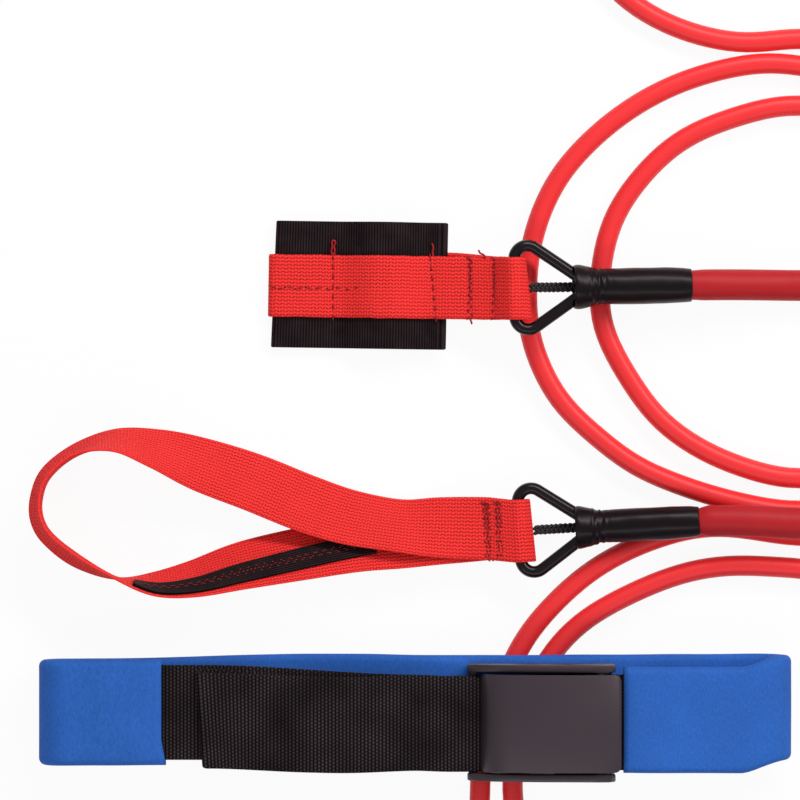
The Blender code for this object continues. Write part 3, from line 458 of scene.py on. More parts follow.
def end_route(end, start):
    """The tube's line from a place inside the boot to the rear of the end sleeve."""
    rear = end_point(end, BOOT_END)
    heading = (rear - end_point(end, 0)).normalized()
    finish = end["sleeve_end"] - Vector((4, 0, 0))
    reach = (finish - rear).length
    points = [end_point(end, start), end_point(end, BOOT_END - 10), rear]
    for index in range(1, 7):
        t = index / 6
        lead = rear + heading * reach * t
        last = finish - Vector((1, 0, 0)) * reach * (1 - t)
        points.append(lead.lerp(last, ease(t)))
    return points + [end["sleeve_end"]]


def tube_height(diameter):
    """The middle of a tube that lies on the floor."""
    return diameter / 2 + FLOOR_GAP


def tube_route(diameter):
    """The free tube from the slider's end to the anchor's end: three loops beside the straps and
    one that runs under the belt, each closed by an arc."""
    first = ENDS["a"]["sleeve_end"]
    last = ENDS["b"]["sleeve_end"]
    middle_x = 197.0
    bend = (BEND_R, BEND_R)
    flat = arc(209.5, 157, (44.7, 45.8), -62, 68, 6)
    flat += [
        (middle_x, 205), (174.5, 202), (155, 196), (134.5, 186), (119, 172.5), (106.5, 156.5),
        (98.5, 140.5), (94.5, 124), (93.5, 109), (94.5, 94.5), (98.5, 81), (107, 66.5),
        (116, 52), (129.5, 38), (148, 25.5), (171, 16.5), (middle_x, 11.5),
    ]
    flat += arc(middle_x, 118.5, (79, 107), -68, 68, 8)
    flat += [
        (middle_x, 225.5), (181.5, 227), (158, 224), (131.5, 215.5), (108.5, 203), (88, 186.5),
        (74.5, 171), (65.5, 155.5), (58, 134.5), (55.5, 110), (57, 86.5), (63.5, 68.5),
        (72.5, 52), (88.5, 36), (108, 20.5), (128.5, 10.5), (154.5, 1.5), (176, -3),
        (middle_x, -5.5),
    ]
    flat += arc(middle_x, 117.3, (94.6, 123), -70, 70, 9)
    flat += [(middle_x, 240), (174, 238), (150, 241), (128, 248.5), (109, 260)]
    flat += arc(130.5, 294, bend, 207, 98, 5)
    flat += [
        (153, 335), (184, 330.5), (215, 319), (244, 299.5), (268, 273), (286.5, 242),
        (299, 205.5), (305, 166.5), (306, 127.5), (302.5, 88.5), (293, 52), (275.5, 21),
        (250.5, -2.5), (224, -15.5), (middle_x, -18.5), (176, -16), (155, -14), (136.5, -16.5),
        (118.5, -21.8), (95, -33), (78, -46), (63.5, -60.5), (50.5, -79), (42.5, -98),
        (36.5, -117), (32, -133.5), (30.5, -148), (30.5, -156),
    ]
    # Below the belt the two strands open out into a round loop
    strand_gap = 9.1
    from_loop = strand_gap + BEND_R
    loop_x, neck_y = 39.6, -156
    loop_y = neck_y - math.sqrt((2 * BEND_R) ** 2 - from_loop ** 2)
    spread = math.degrees(math.asin(from_loop / (2 * BEND_R))) + 6
    flat += arc(loop_x - from_loop, neck_y, bend, -20, -40, 2)
    flat += arc(loop_x, loop_y, bend, 90 + spread, 450 - spread, 11)
    flat += arc(loop_x + from_loop, neck_y, bend, -140, -160, 2)
    flat += [
        (48.5, -156), (48, -144.5), (49.5, -131), (53.5, -114.5), (60, -95.5), (69, -79.5),
        (80, -67.5), (95, -56.5), (115, -46.5), (134.5, -39), (155, -35), (174.5, -34.5),
        (middle_x, -36.5),
    ]
    flat += arc(middle_x, -36.5 - BEND_R, bend, 68, 20, 3)
    flat += arc(middle_x + 2 * BEND_R, -36.5 - BEND_R, bend, 195, 442, 9)
    return [
        (first.x + TOUCH, first.y, first.z),
        (first.x + 4, first.y, first.z),
        (first.x + 11, first.y + 0.6, 6.4),
        *((x, y, tube_height(diameter)) for x, y in flat),
        (258.5, -33.5, 6.8),
        (243, -28, 11.0),
        (228, -19.5, 16.6),
        (last.x + 12, last.y - 1.8, 17.7),
        (last.x + 4, last.y, last.z),
        (last.x + TOUCH, last.y, last.z),
    ]


def faired(points, floor, passes=120, held=3):
    """The same line with its small waves taken out, and its first and last points as they are.
    Each pass pulls the points together and pushes them back, so large bends keep their size."""
    line = [Vector(point) for point in points]
    for _ in range(passes):
        for pull in (0.5, -0.52):
            inner = [
                here + ((before + after) / 2 - here) * pull
                for before, here, after in zip(line, line[1:], line[2:])
            ]
            line = line[:held] + inner[held - 1:1 - held] + line[-held:]
    return [Vector((point.x, point.y, max(point.z, floor))) for point in line]


# Meshes


def add_object(name, data, finish):
    """Adds an object to the scene in a finish."""
    made = bpy.data.objects.new(name, data)
    bpy.context.scene.collection.objects.link(made)
    data.materials.clear()
    data.materials.append(bpy.data.materials[finish])
    return made


def place_piece(made, body, slot, *nodes):
    """The piece moves with a body and stands for these nodes; slot is not used."""
    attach(made, body)
    if nodes:
        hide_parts(*nodes)


def mesh_object(name, points, faces, finish, coordinates=None):
    """A smooth mesh from points in millimetres, with a UV map in millimetres for each corner."""
    mesh = bpy.data.meshes.new(name)
    mesh.from_pydata([Vector(point) * MM for point in points], [], faces)
    if coordinates:
        layer = mesh.uv_layers.new(name="weave")
        flat = [value for corner in coordinates for pair in corner for value in pair]
        layer.data.foreach_set("uv", flat)
    mesh.shade_smooth()
    mesh.validate()
    made = add_object(name, mesh, finish)
    point_out(made)
    return made


def point_out(made):
    """Turns a mesh's faces outwards."""
    shape = bmesh.new()
    shape.from_mesh(made.data)
    bmesh.ops.recalc_face_normals(shape, faces=shape.faces)
    shape.to_mesh(made.data)
    shape.free()


def wall_faces(rows, size, closed=False):
    """Faces that join each row of points to the next, all the way round."""
    faces = []
    for row in range(rows if closed else rows - 1):
        here, ahead = row * size, (row + 1) % rows * size
        for k in range(size):
            beside = (k + 1) % size
            faces.append((here + k, here + beside, ahead + beside, ahead + k))
    return faces


def end_faces(rows, size):
    """One face over the first row of points and one over the last."""
    return [tuple(row * size + k for k in range(size)) for row in (0, rows - 1)]


def frames_along(line, across=None, closed=False):
    """For each point of a line: the direction across it and the one out of the face.
    Without a given direction across, the frame is carried along with no twist."""
    count = len(line)
    found = []
    carried = None
    for index in range(count):
        if closed:
            back, ahead = line[index - 1], line[(index + 1) % count]
        else:
            back, ahead = line[max(index - 1, 0)], line[min(index + 1, count - 1)]
        along = (ahead - back).normalized()
        if across is not None:
            side = across[index]
        elif carried is None:
            side = UP.cross(along).normalized()
        else:
            side = (carried - along * carried.dot(along)).normalized()
        carried = side
        found.append((side, side.cross(along).normalized()))
    return found


def band_section(width, thickness, spans=12, round_steps=3):
    """A flat band's section as (across, out): two faces joined by rounded edges."""
    r = thickness / 2
    half = width / 2 - r
    section = [(half - 2 * half * k / spans, r) for k in range(spans + 1)]
    for k in range(1, round_steps + 1):
        angle = math.pi / 2 + math.pi * k / (round_steps + 1)
        section.append((-half + r * math.cos(angle), r * math.sin(angle)))
    section += [(-half + 2 * half * k / spans, -r) for k in range(spans + 1)]
    for k in range(1, round_steps + 1):
        angle = -math.pi / 2 + math.pi * k / (round_steps + 1)
        section.append((half + r * math.cos(angle), r * math.sin(angle)))
    return section


def evenly(stations, step, closed):
    """The same band's stations, now about a step apart."""
    line = [Vector(centre) for centre, _ in stations]
    across = [Vector(side).normalized() for _, side in stations]
    if closed:
        line.append(line[0])
        across.append(across[0])
    travelled = distances(line)
    count = max(2, round(travelled[-1] / step))
    found = []
    at = 0
    for index in range(count if closed else count + 1):
        goal = travelled[-1] * index / count
        while at < len(line) - 2 and travelled[at + 1] < goal:
            at += 1
        share = (goal - travelled[at]) / max(travelled[at + 1] - travelled[at], 1e-6)
        side = across[at].lerp(across[at + 1], share).normalized()
        found.append((line[at].lerp(line[at + 1], share), side))
    return found, travelled[-1]


def band(
    name, stations, width, thickness, finish, closed=False, warp=None, ribs=NO_RIBS, bow=None
):
    """A woven band along its stations (centre, direction across). The UV map holds the distance
    along it and the distance across it. Ribs are a pitch and a height, and scallop its edges.
    bow gives how far the band's middle stands out from its edges at a place."""
    pitch, height = ribs
    stations, length = evenly(stations, pitch / ROWS_PER_RIB, closed)
    line = [centre for centre, _ in stations]
    frames = frames_along(line, [side for _, side in stations], closed)
    section = band_section(width, thickness)
    points = []
    for row, (here, (side, out)) in enumerate(zip(line, frames)):
        rib = height * math.cos(2 * math.pi * row / ROWS_PER_RIB)
        bowed = bow(here) if bow else 0.0
        for offset, lift in section:
            at_edge = abs(offset) > width / 2 - thickness
            lift += bowed * (1 - (2 * offset / width) ** 2)
            offset += math.copysign(rib, offset) if at_edge else 0
            point = here + side * offset + out * lift
            points.append(warp(point) if warp else point)
    count = len(line) if closed else len(line) - 1
    travelled = [length * row / count for row in range(count + 1)]
    coordinates = []
    for start, end in zip(travelled, travelled[1:]):
        for (here, _), (beside, _) in zip(section, section[1:] + section[:1]):
            coordinates.append(((start, here), (start, beside), (end, beside), (end, here)))
    faces = wall_faces(len(line), len(section), closed)
    if not closed:
        faces += end_faces(len(line), len(section))
        coordinates += [[(place, offset) for offset, _ in section] for place in (0.0, length)]
    return mesh_object(name, points, faces, finish, coordinates), length


def cloth(name, stations, width, thickness, finish, body, slot, node, **shape):
    """A band of cloth as a piece."""
    made, length = band(name, stations, width, thickness, finish, **shape)
    place_piece(made, body, slot, node)


def ring_round(centre, side, out, sides, radius):
    """Points round a place; radius gives how far out each is at its angle."""
    points = []
    for k in range(sides):
        angle = 2 * math.pi * k / sides
        points.append(centre + (side * math.cos(angle) + out * math.sin(angle)) * radius(angle))
    return points


def hose(name, line, outer, inner, finish, sides=40, bump=lambda distance, angle: 0.0):
    """A tube along a line with a bore, both open at the ends. outer and inner give the radius at
    a point's number; bump adds to the outer one at a distance along and an angle."""
    frames = frames_along(line)
    travelled = distances(line)
    points = []
    for row, (side, out) in enumerate(frames):
        points += ring_round(
            line[row], side, out, sides, lambda angle: outer(row) + bump(travelled[row], angle)
        )
    for row in reversed(range(len(line))):
        side, out = frames[row]
        points += ring_round(line[row], side, out, sides, lambda angle: inner(row))
    return mesh_object(name, points, wall_faces(2 * len(line), sides, closed=True), finish)


def rod(name, line, radius, finish, sides=24):
    """A solid round bar or wire along a line, its ends closed."""
    points = []
    for here, (side, out) in zip(line, frames_along(line)):
        points += ring_round(here, side, out, sides, lambda angle: radius)
    faces = wall_faces(len(line), sides) + end_faces(len(line), sides)
    return mesh_object(name, points, faces, finish)


def polished(name, node, finish, edge, body, slot, reshape=None):
    """A copy of a rigid node with its seams welded and its edges rounded, as a piece."""
    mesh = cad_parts[node].data.copy()
    shape = bmesh.new()
    shape.from_mesh(mesh)
    bmesh.ops.remove_doubles(shape, verts=shape.verts, dist=WELD_GAP * MM)
    bmesh.ops.dissolve_limit(
        shape, angle_limit=math.radians(FLAT_ANGLE), verts=shape.verts, edges=shape.edges
    )
    if reshape:
        for vertex in shape.verts:
            vertex.co = reshape(vertex.co / MM) * MM
    shape.to_mesh(mesh)
    shape.free()
    made = add_object(name, mesh, finish)
    bevel = made.modifiers.new("edges", "BEVEL")
    bevel.width = edge
    bevel.segments = 3
    bevel.limit_method = "ANGLE"
    bevel.angle_limit = math.radians(SHARP_ANGLE)
    bevel.use_clamp_overlap = True
    settle(made)
    made.data.shade_smooth()
    made.data.set_sharp_from_angle(angle=math.radians(SHARP_ANGLE))
    place_piece(made, body, slot, node)


def settle(made):
    """Turns a piece's modifiers into a plain mesh."""
    bpy.context.view_layer.update()
    graph = bpy.context.evaluated_depsgraph_get()
    mesh = bpy.data.meshes.new_from_object(made.evaluated_get(graph))
    made.modifiers.clear()
    made.data = mesh


# Finishes


def opaque(colour, share=1.0):
    """A colour for a socket, made lighter or darker."""
    return (*(min(1.0, value * share) for value in colour[:3]), 1)


def add(finish, kind, *values, give=None, **settings):
    """Adds a shader node and returns one of its outputs. The values feed its inputs in order. A
    setting whose name starts with a capital is an input, and any other is the node's own."""
    tree = finish.node_tree
    node = tree.nodes.new(f"ShaderNode{kind}")
    for key, value in settings.items():
        if key[0].islower():
            setattr(node, key, value)
    fed = list(zip([socket for socket in node.inputs if socket.enabled], values))
    fed += [(node.inputs[key], value) for key, value in settings.items() if key[0].isupper()]
    for socket, value in fed:
        if isinstance(value, bpy.types.NodeSocket):
            tree.links.new(value, socket)
        else:
            socket.default_value = value
    if give:
        return node.outputs[give]
    return next(socket for socket in node.outputs if socket.enabled)


def start_finish(name, colour, roughness, **sockets):
    """A finish whose shader's own sockets are set; underscores stand for spaces in their names."""
    finish = bpy.data.materials.new(name)
    finish.use_nodes = True
    shader = finish.node_tree.nodes["Principled BSDF"]
    shader.inputs["Base Color"].default_value = opaque(colour)
    shader.inputs["Roughness"].default_value = roughness
    for key, value in sockets.items():
        shader.inputs[key.replace("_", " ")].default_value = value
    return finish


def feed(finish, tones=None, roughness=None, relief=None, depth=0.0, strength=1.0):
    """Joins patterns to the finish's shader. Tones are a pattern and the colours where it is 0
    and where it is 1, and the relief's depth is in millimetres."""
    links = finish.node_tree.links
    shader = finish.node_tree.nodes["Principled BSDF"]
    if tones:
        links.new(add(finish, "Mix", *tones, data_type="RGBA"), shader.inputs["Base Color"])
    if roughness:
        links.new(roughness, shader.inputs["Roughness"])
    if relief:
        normal = add(finish, "Bump", Height=relief, Distance=depth * MM, Strength=strength)
        links.new(normal, shader.inputs["Normal"])


def grain(finish, size, detail=2.0, stretch=(1, 1, 1)):
    """Noise on the piece whose blots are about this many millimetres wide."""
    place = add(finish, "TexCoord", give="Object")
    if stretch != (1, 1, 1):
        place = add(finish, "Mapping", Vector=place, Scale=[1 / share for share in stretch])
    return add(finish, "TexNoise", Vector=place, Scale=1 / (size * MM), Detail=detail)


def weave_place(finish):
    """The distances along and across a band, in millimetres."""
    place = add(finish, "UVMap", uv_map="weave")
    along = add(finish, "SeparateXYZ", place, give="X")
    across = add(finish, "SeparateXYZ", place, give="Y")
    return along, across


def crests(finish, value):
    """Rounded crests, 0 at each whole number and 1 half way between."""
    share = add(finish, "Math", value, operation="FRACT")
    swing = add(finish, "Math", share, 2.0, -1.0, operation="MULTIPLY_ADD")
    square = add(finish, "Math", swing, swing, operation="MULTIPLY")
    return add(finish, "Math", 1.0, square, operation="SUBTRACT")


def latex_tube_finish(colour):
    # Extruded natural latex: smooth and a little waxy, with a broad soft highlight
    finish = start_finish("extruded_latex", colour, 0.4, IOR=1.52, Specular_IOR_Level=0.3)
    bloom = add(finish, "Math", grain(finish, 16.0, 3.0), 0.35, operation="MULTIPLY")
    tones = (bloom, opaque(colour), opaque(colour, 0.8))
    feed(finish, tones=tones, relief=grain(finish, 0.7), depth=0.02, strength=0.4)


def dipped_sleeve_finish(colour):
    # Dipped rubber: duller and darker than the tube, with a dusty bloom
    finish = start_finish("dipped_rubber", colour, 0.5, IOR=1.52, Specular_IOR_Level=0.2)
    bloom = add(finish, "Math", grain(finish, 9.0, 4.0), 0.7, operation="MULTIPLY")
    tones = (bloom, opaque(colour), opaque(colour, 0.72))
    feed(finish, tones=tones, relief=grain(finish, 0.6), depth=0.04, strength=0.5)


def red_webbing_finish(colour):
    # Woven polyester webbing: chevrons of bright yarn with painted shade in the gap beside each
    # slant
    column, row = 3.2, 1.85
    finish = start_finish("woven_polyester_webbing", colour, 0.7, Specular_IOR_Level=0.15)
    along, across = weave_place(finish)
    columns = add(finish, "Math", along, 1 / column, operation="MULTIPLY")
    columns = add(finish, "Math", grain(finish, 5.0), 0.5, columns, operation="MULTIPLY_ADD")
    share = add(finish, "Math", columns, operation="FRACT")
    slant = add(finish, "Math", share, 0.5, operation="SUBTRACT")
    slant = add(finish, "Math", slant, operation="ABSOLUTE")
    rows = add(finish, "Math", across, 1 / row, operation="MULTIPLY")
    rows = add(finish, "Math", slant, 1.0, rows, operation="MULTIPLY_ADD")
    # The gaps between the yarns are masked here and painted dark as shade
    between = add(finish, "Math", 1.0, crests(finish, rows), operation="SUBTRACT")
    halves = crests(finish, add(finish, "Math", columns, 2.0, operation="MULTIPLY"))
    gap = add(finish, "Math", between, halves, operation="MULTIPLY")
    fibres = grain(finish, 0.9, 3.0)
    # Random noise that sets how deep the painted shade in the gaps is
    gap_shade_noise = add(finish, "Math", grain(finish, 14.0, 3.0), 0.8, 0.55, operation="MULTIPLY_ADD")
    dark = add(finish, "Math", gap, gap_shade_noise, operation="MULTIPLY")
    # Painted shade: the yarn's colour on the crests, about a fifth of it in the gaps
    tones = (dark, opaque(colour, 1.1), opaque(colour, 0.22))
    relief = add(finish, "Math", 1.0, gap, operation="SUBTRACT")
    relief = add(finish, "Math", fibres, 0.45, relief, operation="MULTIPLY_ADD")
    feed(finish, tones=tones, relief=relief, depth=0.5, strength=0.9)


def black_webbing_finish(colour, crest_sheen_colour):
    # Woven polypropylene webbing: staggered yarn crests painted with a grey sheen on near black
    column, row = 1.87, 1.85
    finish = start_finish("woven_polypropylene_webbing", colour, 0.6, Specular_IOR_Level=0.04)
    along, across = weave_place(finish)
    columns = add(finish, "Math", along, 1 / column, operation="MULTIPLY")
    stagger = add(finish, "Math", columns, operation="FLOOR")
    rows = add(finish, "Math", across, 1 / row, operation="MULTIPLY")
    rows = add(finish, "Math", stagger, 0.5, rows, operation="MULTIPLY_ADD")
    bead = add(finish, "Math", crests(finish, rows), 0.55, 0.45, operation="MULTIPLY_ADD")
    crest = add(finish, "Math", bead, crests(finish, columns), operation="MULTIPLY")
    patches = add(finish, "Math", grain(finish, 24.0), 1.5, -0.05, operation="MULTIPLY_ADD")
    lit = add(finish, "Math", crest, 2.6, operation="POWER")
    lit = add(finish, "Math", lit, patches, operation="MULTIPLY", use_clamp=True)
    # Painted sheen: the crests take the sheen's grey, in random patches
    tones = (lit, opaque(colour), opaque(crest_sheen_colour))
    relief = add(finish, "Math", grain(finish, 0.8), 0.3, crest, operation="MULTIPLY_ADD")
    feed(finish, tones=tones, relief=relief, depth=0.35, strength=0.6)


def grosgrain_finish(name, colour, pitch, along_ribs):
    # Grosgrain ribbon: fine ribs, with a painted sheen on each crest and painted shade between them
    finish = start_finish(name, colour, 0.6, Specular_IOR_Level=0.04)
    along, across = weave_place(finish)
    ribs = add(finish, "Math", across if along_ribs else along, 1 / pitch, operation="MULTIPLY")
    rib = crests(finish, ribs)
    patches = add(finish, "Math", grain(finish, 9.0, 3.0), 1.2, 0.1, operation="MULTIPLY_ADD")
    crest = add(finish, "Math", rib, 1.6, operation="POWER")
    lit = add(finish, "Math", crest, patches, operation="MULTIPLY", use_clamp=True)
    # Painted light: dark between the ribs, light on their crests
    tones = (lit, opaque(colour, 0.15), opaque(colour, 3.0))
    relief = add(finish, "Math", grain(finish, 0.6), 0.25, rib, operation="MULTIPLY_ADD")
    feed(finish, tones=tones, relief=relief, depth=0.22, strength=0.7)


def foam_finish(colour):
    # Skinned neoprene foam: matte, with a fine velvety grain and cloudy shade
    finish = start_finish("skinned_neoprene_foam", colour, 0.75, Specular_IOR_Level=0.15)
    fine = grain(finish, 0.9, 3.0, (1, 2.2, 1))
    cloud = add(finish, "Math", grain(finish, 30.0, 3.0), 0.6, -0.3, operation="MULTIPLY_ADD")
    share = add(finish, "Math", fine, 1.0, cloud, operation="MULTIPLY_ADD")
    tones = (share, opaque(colour, 0.7), opaque(colour, 1.34))
    feed(finish, tones=tones, relief=fine, depth=0.2, strength=0.6)


def moulded_finish(name, colour, roughness, gloss_level, pits):
    # Moulded plastic: a fine even grain that breaks its sheen, rubbed smoother in places
    finish = start_finish(
        name, colour, roughness, Specular_IOR_Level=gloss_level, Specular_Tint=opaque(WARM_GLOSS)
    )
    rubbed = grain(finish, 24.0, 4.0)
    share = add(finish, "Math", rubbed, 0.4, operation="MULTIPLY")
    tones = (share, opaque(colour), opaque(colour, 1.3))
    gloss = add(finish, "Math", rubbed, 0.14, roughness - 0.07, operation="MULTIPLY_ADD")
    feed(finish, tones=tones, roughness=gloss, relief=grain(finish, 0.4), depth=pits, strength=0.5)


def twisted_thread_finish(name, colour):
    # Twisted nylon: short shiny strands with dark gaps
    finish = start_finish(name, colour, 0.5, Specular_IOR_Level=0.35)
    strands = grain(finish, 0.8, 3.0)
    tones = (strands, opaque(colour, 0.5), opaque(colour, 1.4))
    feed(finish, tones=tones, relief=strands, depth=0.12, strength=0.7)


def plated_steel_finish(colour):
    # Plated steel: clean metal, brushed unevenly
    finish = start_finish("plated_steel", colour, 0.3, Metallic=1.0)
    gloss = add(finish, "Math", grain(finish, 2.0, 3.0), 0.2, 0.2, operation="MULTIPLY_ADD")
    feed(finish, roughness=gloss)


def floor_finish(colour):
    # White paper: even white to the eye and in reflections, and still a place for soft shadows
    finish = start_finish("white_paper", colour, 0.9, Specular_IOR_Level=0.0)
    tree = finish.node_tree
    glow = add(finish, "Emission", WHITE, 1.0)
    seen = add(finish, "LightPath", give="Is Camera Ray")
    mirrored = add(finish, "LightPath", give="Is Glossy Ray")
    through = add(finish, "LightPath", give="Is Transmission Ray")
    rays = add(finish, "Math", seen, mirrored, operation="ADD")
    rays = add(finish, "Math", rays, through, operation="ADD", use_clamp=True)
    share = add(finish, "Math", rays, PAPER_GLOW, operation="MULTIPLY")
    mixed = add(finish, "MixShader", share, tree.nodes["Principled BSDF"].outputs[0], glow)
    tree.links.new(mixed, tree.nodes["Material Output"].inputs["Surface"])


def studio_finish():
    """The studio's own light: dim overhead, brighter round the sides, and white to the camera."""
    world = bpy.data.worlds.new("studio")
    world.use_nodes = True
    tree = world.node_tree
    height = add(world, "SeparateXYZ", add(world, "TexCoord", give="Generated"), give="Z")
    share = add(world, "Math", height, operation="ABSOLUTE")
    dimmer = STUDIO_OVERHEAD - STUDIO_SIDES
    level = add(world, "Math", share, dimmer, STUDIO_SIDES, operation="MULTIPLY_ADD")
    seen = add(world, "LightPath", give="Is Camera Ray")
    strength = add(world, "Math", level, seen, operation="MAXIMUM")
    tree.links.new(strength, tree.nodes["Background"].inputs["Strength"])
    tree.nodes["Background"].inputs["Color"].default_value = WHITE
    return world


# Sewing


def stitch_tree():
    """Beads of thread laid along the edges of a path, each along the path's own direction."""
    tree = bpy.data.node_groups.new("stitches_along_path", "GeometryNodeTree")
    for name, kind in (
        ("Path", "Geometry"), ("Stitch", "Float"), ("Pitch", "Float"), ("Thread", "Float"),
        ("Finish", "Material"),
    ):
        tree.interface.new_socket(name, in_out="INPUT", socket_type=f"NodeSocket{kind}")
    tree.interface.new_socket("Stitches", in_out="OUTPUT", socket_type="NodeSocketGeometry")
    nodes = tree.nodes
    given = nodes.new("NodeGroupInput")
    curve = nodes.new("GeometryNodeMeshToCurve")
    points = nodes.new("GeometryNodeCurveToPoints")
    points.mode = "LENGTH"
    bead = nodes.new("GeometryNodeMeshUVSphere")
    bead.inputs["Segments"].default_value = 6
    bead.inputs["Rings"].default_value = 5
    bead.inputs["Radius"].default_value = 0.5
    scale = nodes.new("ShaderNodeCombineXYZ")
    aim = nodes.new("FunctionNodeAlignRotationToVector")
    aim.axis = "Z"
    copies = nodes.new("GeometryNodeInstanceOnPoints")
    real = nodes.new("GeometryNodeRealizeInstances")
    rounded = nodes.new("GeometryNodeSetShadeSmooth")
    finish = nodes.new("GeometryNodeSetMaterial")
    result = nodes.new("NodeGroupOutput")
    for source, given_out, target, taken_in in (
        (given, "Path", curve, "Mesh"),
        (curve, "Curve", points, "Curve"),
        (given, "Pitch", points, "Length"),
        (given, "Thread", scale, "X"),
        (given, "Thread", scale, "Y"),
        (given, "Stitch", scale, "Z"),
        (points, "Tangent", aim, "Vector"),
        (points, "Points", copies, "Points"),
        (bead, "Mesh", copies, "Instance"),
        (aim, "Rotation", copies, "Rotation"),
        (scale, "Vector", copies, "Scale"),
        (copies, "Instances", real, "Geometry"),
        (real, "Geometry", rounded, "Geometry"),
        (rounded, "Geometry", finish, "Geometry"),
        (given, "Finish", finish, "Material"),
        (finish, "Geometry", result, "Stitches"),
    ):
        tree.links.new(source.outputs[given_out], target.inputs[taken_in])
    return tree


def sew(name, paths, finish, body, slot, longer=1.0, thicker=1.0, spread=1.0):
    """Stitches along these paths, as one piece that moves with a body."""
    sizes = bpy.context.scene.swim_belt_stitches
    tree = bpy.data.node_groups.get("stitches_along_path") or stitch_tree()
    mesh = bpy.data.meshes.new(name)
    points = []
    edges = []
    for path in paths:
        start = len(points)
        points += [Vector(point) * MM for point in path]
        edges += [(start + k, start + k + 1) for k in range(len(path) - 1)]
    mesh.from_pydata(points, edges, [])
    made = add_object(name, mesh, finish)
    modifier = made.modifiers.new("stitches", "NODES")
    modifier.node_group = tree
    values = {
        "Stitch": sizes.stitch * longer,
        "Pitch": sizes.pitch * spread,
        "Thread": sizes.thread * thicker,
        "Finish": bpy.data.materials[finish],
    }
    for item in tree.interface.items_tree:
        if item.in_out == "INPUT" and item.name in values:
            modifier[item.identifier] = values[item.name]
    settle(made)
    if not made.data.polygons:
        raise RuntimeError(f"{name} has no stitches")
    place_piece(made, body, slot)


def sew_with_hole_shade(name, paths, body, slot, longer, thicker, spread):
    """Stitches, and dark beads half a pitch on that paint the shade in the needle holes they go
    down into.
    """
    sew(f"{name}_thread", paths, "twisted_nylon_thread", body, slot, longer, thicker, spread)
    half_pitch = in_mm(bpy.context.scene.swim_belt_stitches.pitch) * spread / 2
    later = []
    for path in paths:
        first, second = Vector(path[0]), Vector(path[1])
        gone = min(half_pitch, (second - first).length * 0.9)
        later.append([first + (second - first).normalized() * gone] + list(path[1:]))
    # Dark beads that paint the shade in each needle hole
    sew(f"{name}_holes", later, "needle_holes", body, slot, 0.45, thicker * 1.25, spread)


def zigzag(points, depth):
    """A path that swings to either side of a line of points by a depth, turning at each step."""
    path = []
    for index, point in enumerate(smooth(points, ZIGZAG_STEP)):
        path.append(Vector(point) + Vector((depth if index % 2 else -depth, 0, 0)))
    return path


# Slider


def slider_rise(x):
    """How far the slider's layers are lifted towards the ring's bar."""
    bar = ENDS["a"]["bar"]
    share = max(0.0, (x - SLIDER_RAMP_START) / (bar.x - SLIDER_RAMP_START))
    resting = 1.5 * tether("strap_thickness") + PAD_T + 1.5 * TOUCH
    return (bar.z - resting) * share * share


def tunnel_opening(x):
    """The height between the slider sleeve's two layers, beyond the sewn edges' gap."""
    share = (x - TUNNEL_LEFT) / (TUNNEL_RIGHT - TUNNEL_LEFT)
    return TUNNEL_H * ease(share / TUNNEL_SLOPE) * ease((1 - share) / TUNNEL_SLOPE)


def slider_y(x, at_bar=SLIDER_Y):
    """The middle across Y of the slider's layers, which lie askew."""
    return at_bar + (x - ENDS["a"]["bar"].x) * math.tan(math.radians(SLIDER_YAW))


def slider_stations(line, at_bar):
    """Stations of the slider's layers, which turn to meet the ring's bar."""
    bar_x, turn = ENDS["a"]["bar"].x, ENDS["a"]["turn"]
    found = []
    for x, z in line:
        yaw = SLIDER_YAW + (turn - SLIDER_YAW) * ramp(x, bar_x - SLIDER_TURN_RUN, bar_x)
        found.append((Vector((x, slider_y(x, at_bar), z)), turned(yaw) @ ACROSS))
    return found


def slider_heights():
    """The slider strap's lower and upper middle heights where it lies flat."""
    strap = tether("strap_thickness")
    low = strap / 2
    return low, low + 2 * (PAD_T + TOUCH) + strap + 2 * TOUCH


def sewn_at():
    """Where the strap's two layers are sewn together, short of the ring's bar."""
    return ENDS["a"]["bar"].x - tether("wire") / 2 - SEWN_FROM_BAR


def slider_layers(x):
    """The middle heights of the slider strap's two layers, which close in past its sleeve."""
    low, high = slider_heights()
    fold = (high - low) / 2
    apart = (tether("strap_thickness") + TOUCH) / 2
    meeting = PAD_RIGHT + MEET_SHARE * (sewn_at() - PAD_RIGHT)
    half_gap = fold + (apart - fold) * ramp(x, PAD_RIGHT, meeting)
    middle = low + fold + slider_rise(x)
    return middle - half_gap, middle + half_gap + tunnel_opening(x)


def slider_top(x):
    """The upper face of the slider's strap."""
    return slider_layers(x)[1] + tether("strap_thickness") / 2


def wrap_round_bar(bar, strap, wire):
    """The strap's turn round a ring's bar, from its lower layer to its upper one: a small loop
    beyond the bar, in X and Z."""
    hug = wire / 2 + WRAP_GAP + strap / 2
    tip_x = STRAP_OVERHANG - strap / 2 - STRAP_END_R
    lean = math.degrees(math.asin((hug - STRAP_END_R) / tip_x))
    hugging = (90 - lean, 95, 101, 107, 113, 119, 125)
    steps = 12
    line = [on_circle(bar.x, bar.z, hug, -angle) for angle in reversed(hugging)]
    for step in range(steps + 1):
        angle = (lean - 90) * (1 - 2 * step / steps)
        line.append(on_circle(bar.x + tip_x, bar.z, STRAP_END_R, angle))
    line += [on_circle(bar.x, bar.z, hug, angle) for angle in hugging]
    return line


def drawn_in(point, end):
    """The strap's end beyond the ring's bar, pulled back towards the bar, more at its far edge."""
    turn = turned(end["turn"])
    local = turn.inverted() @ (point - end["bar"])
    beyond = local.x - STRAP_HUG
    if beyond > 0:
        share, slant = end["tip"]
        local.x = STRAP_HUG + beyond * (share - slant * local.y / 16)
    return end["bar"] + turn @ local


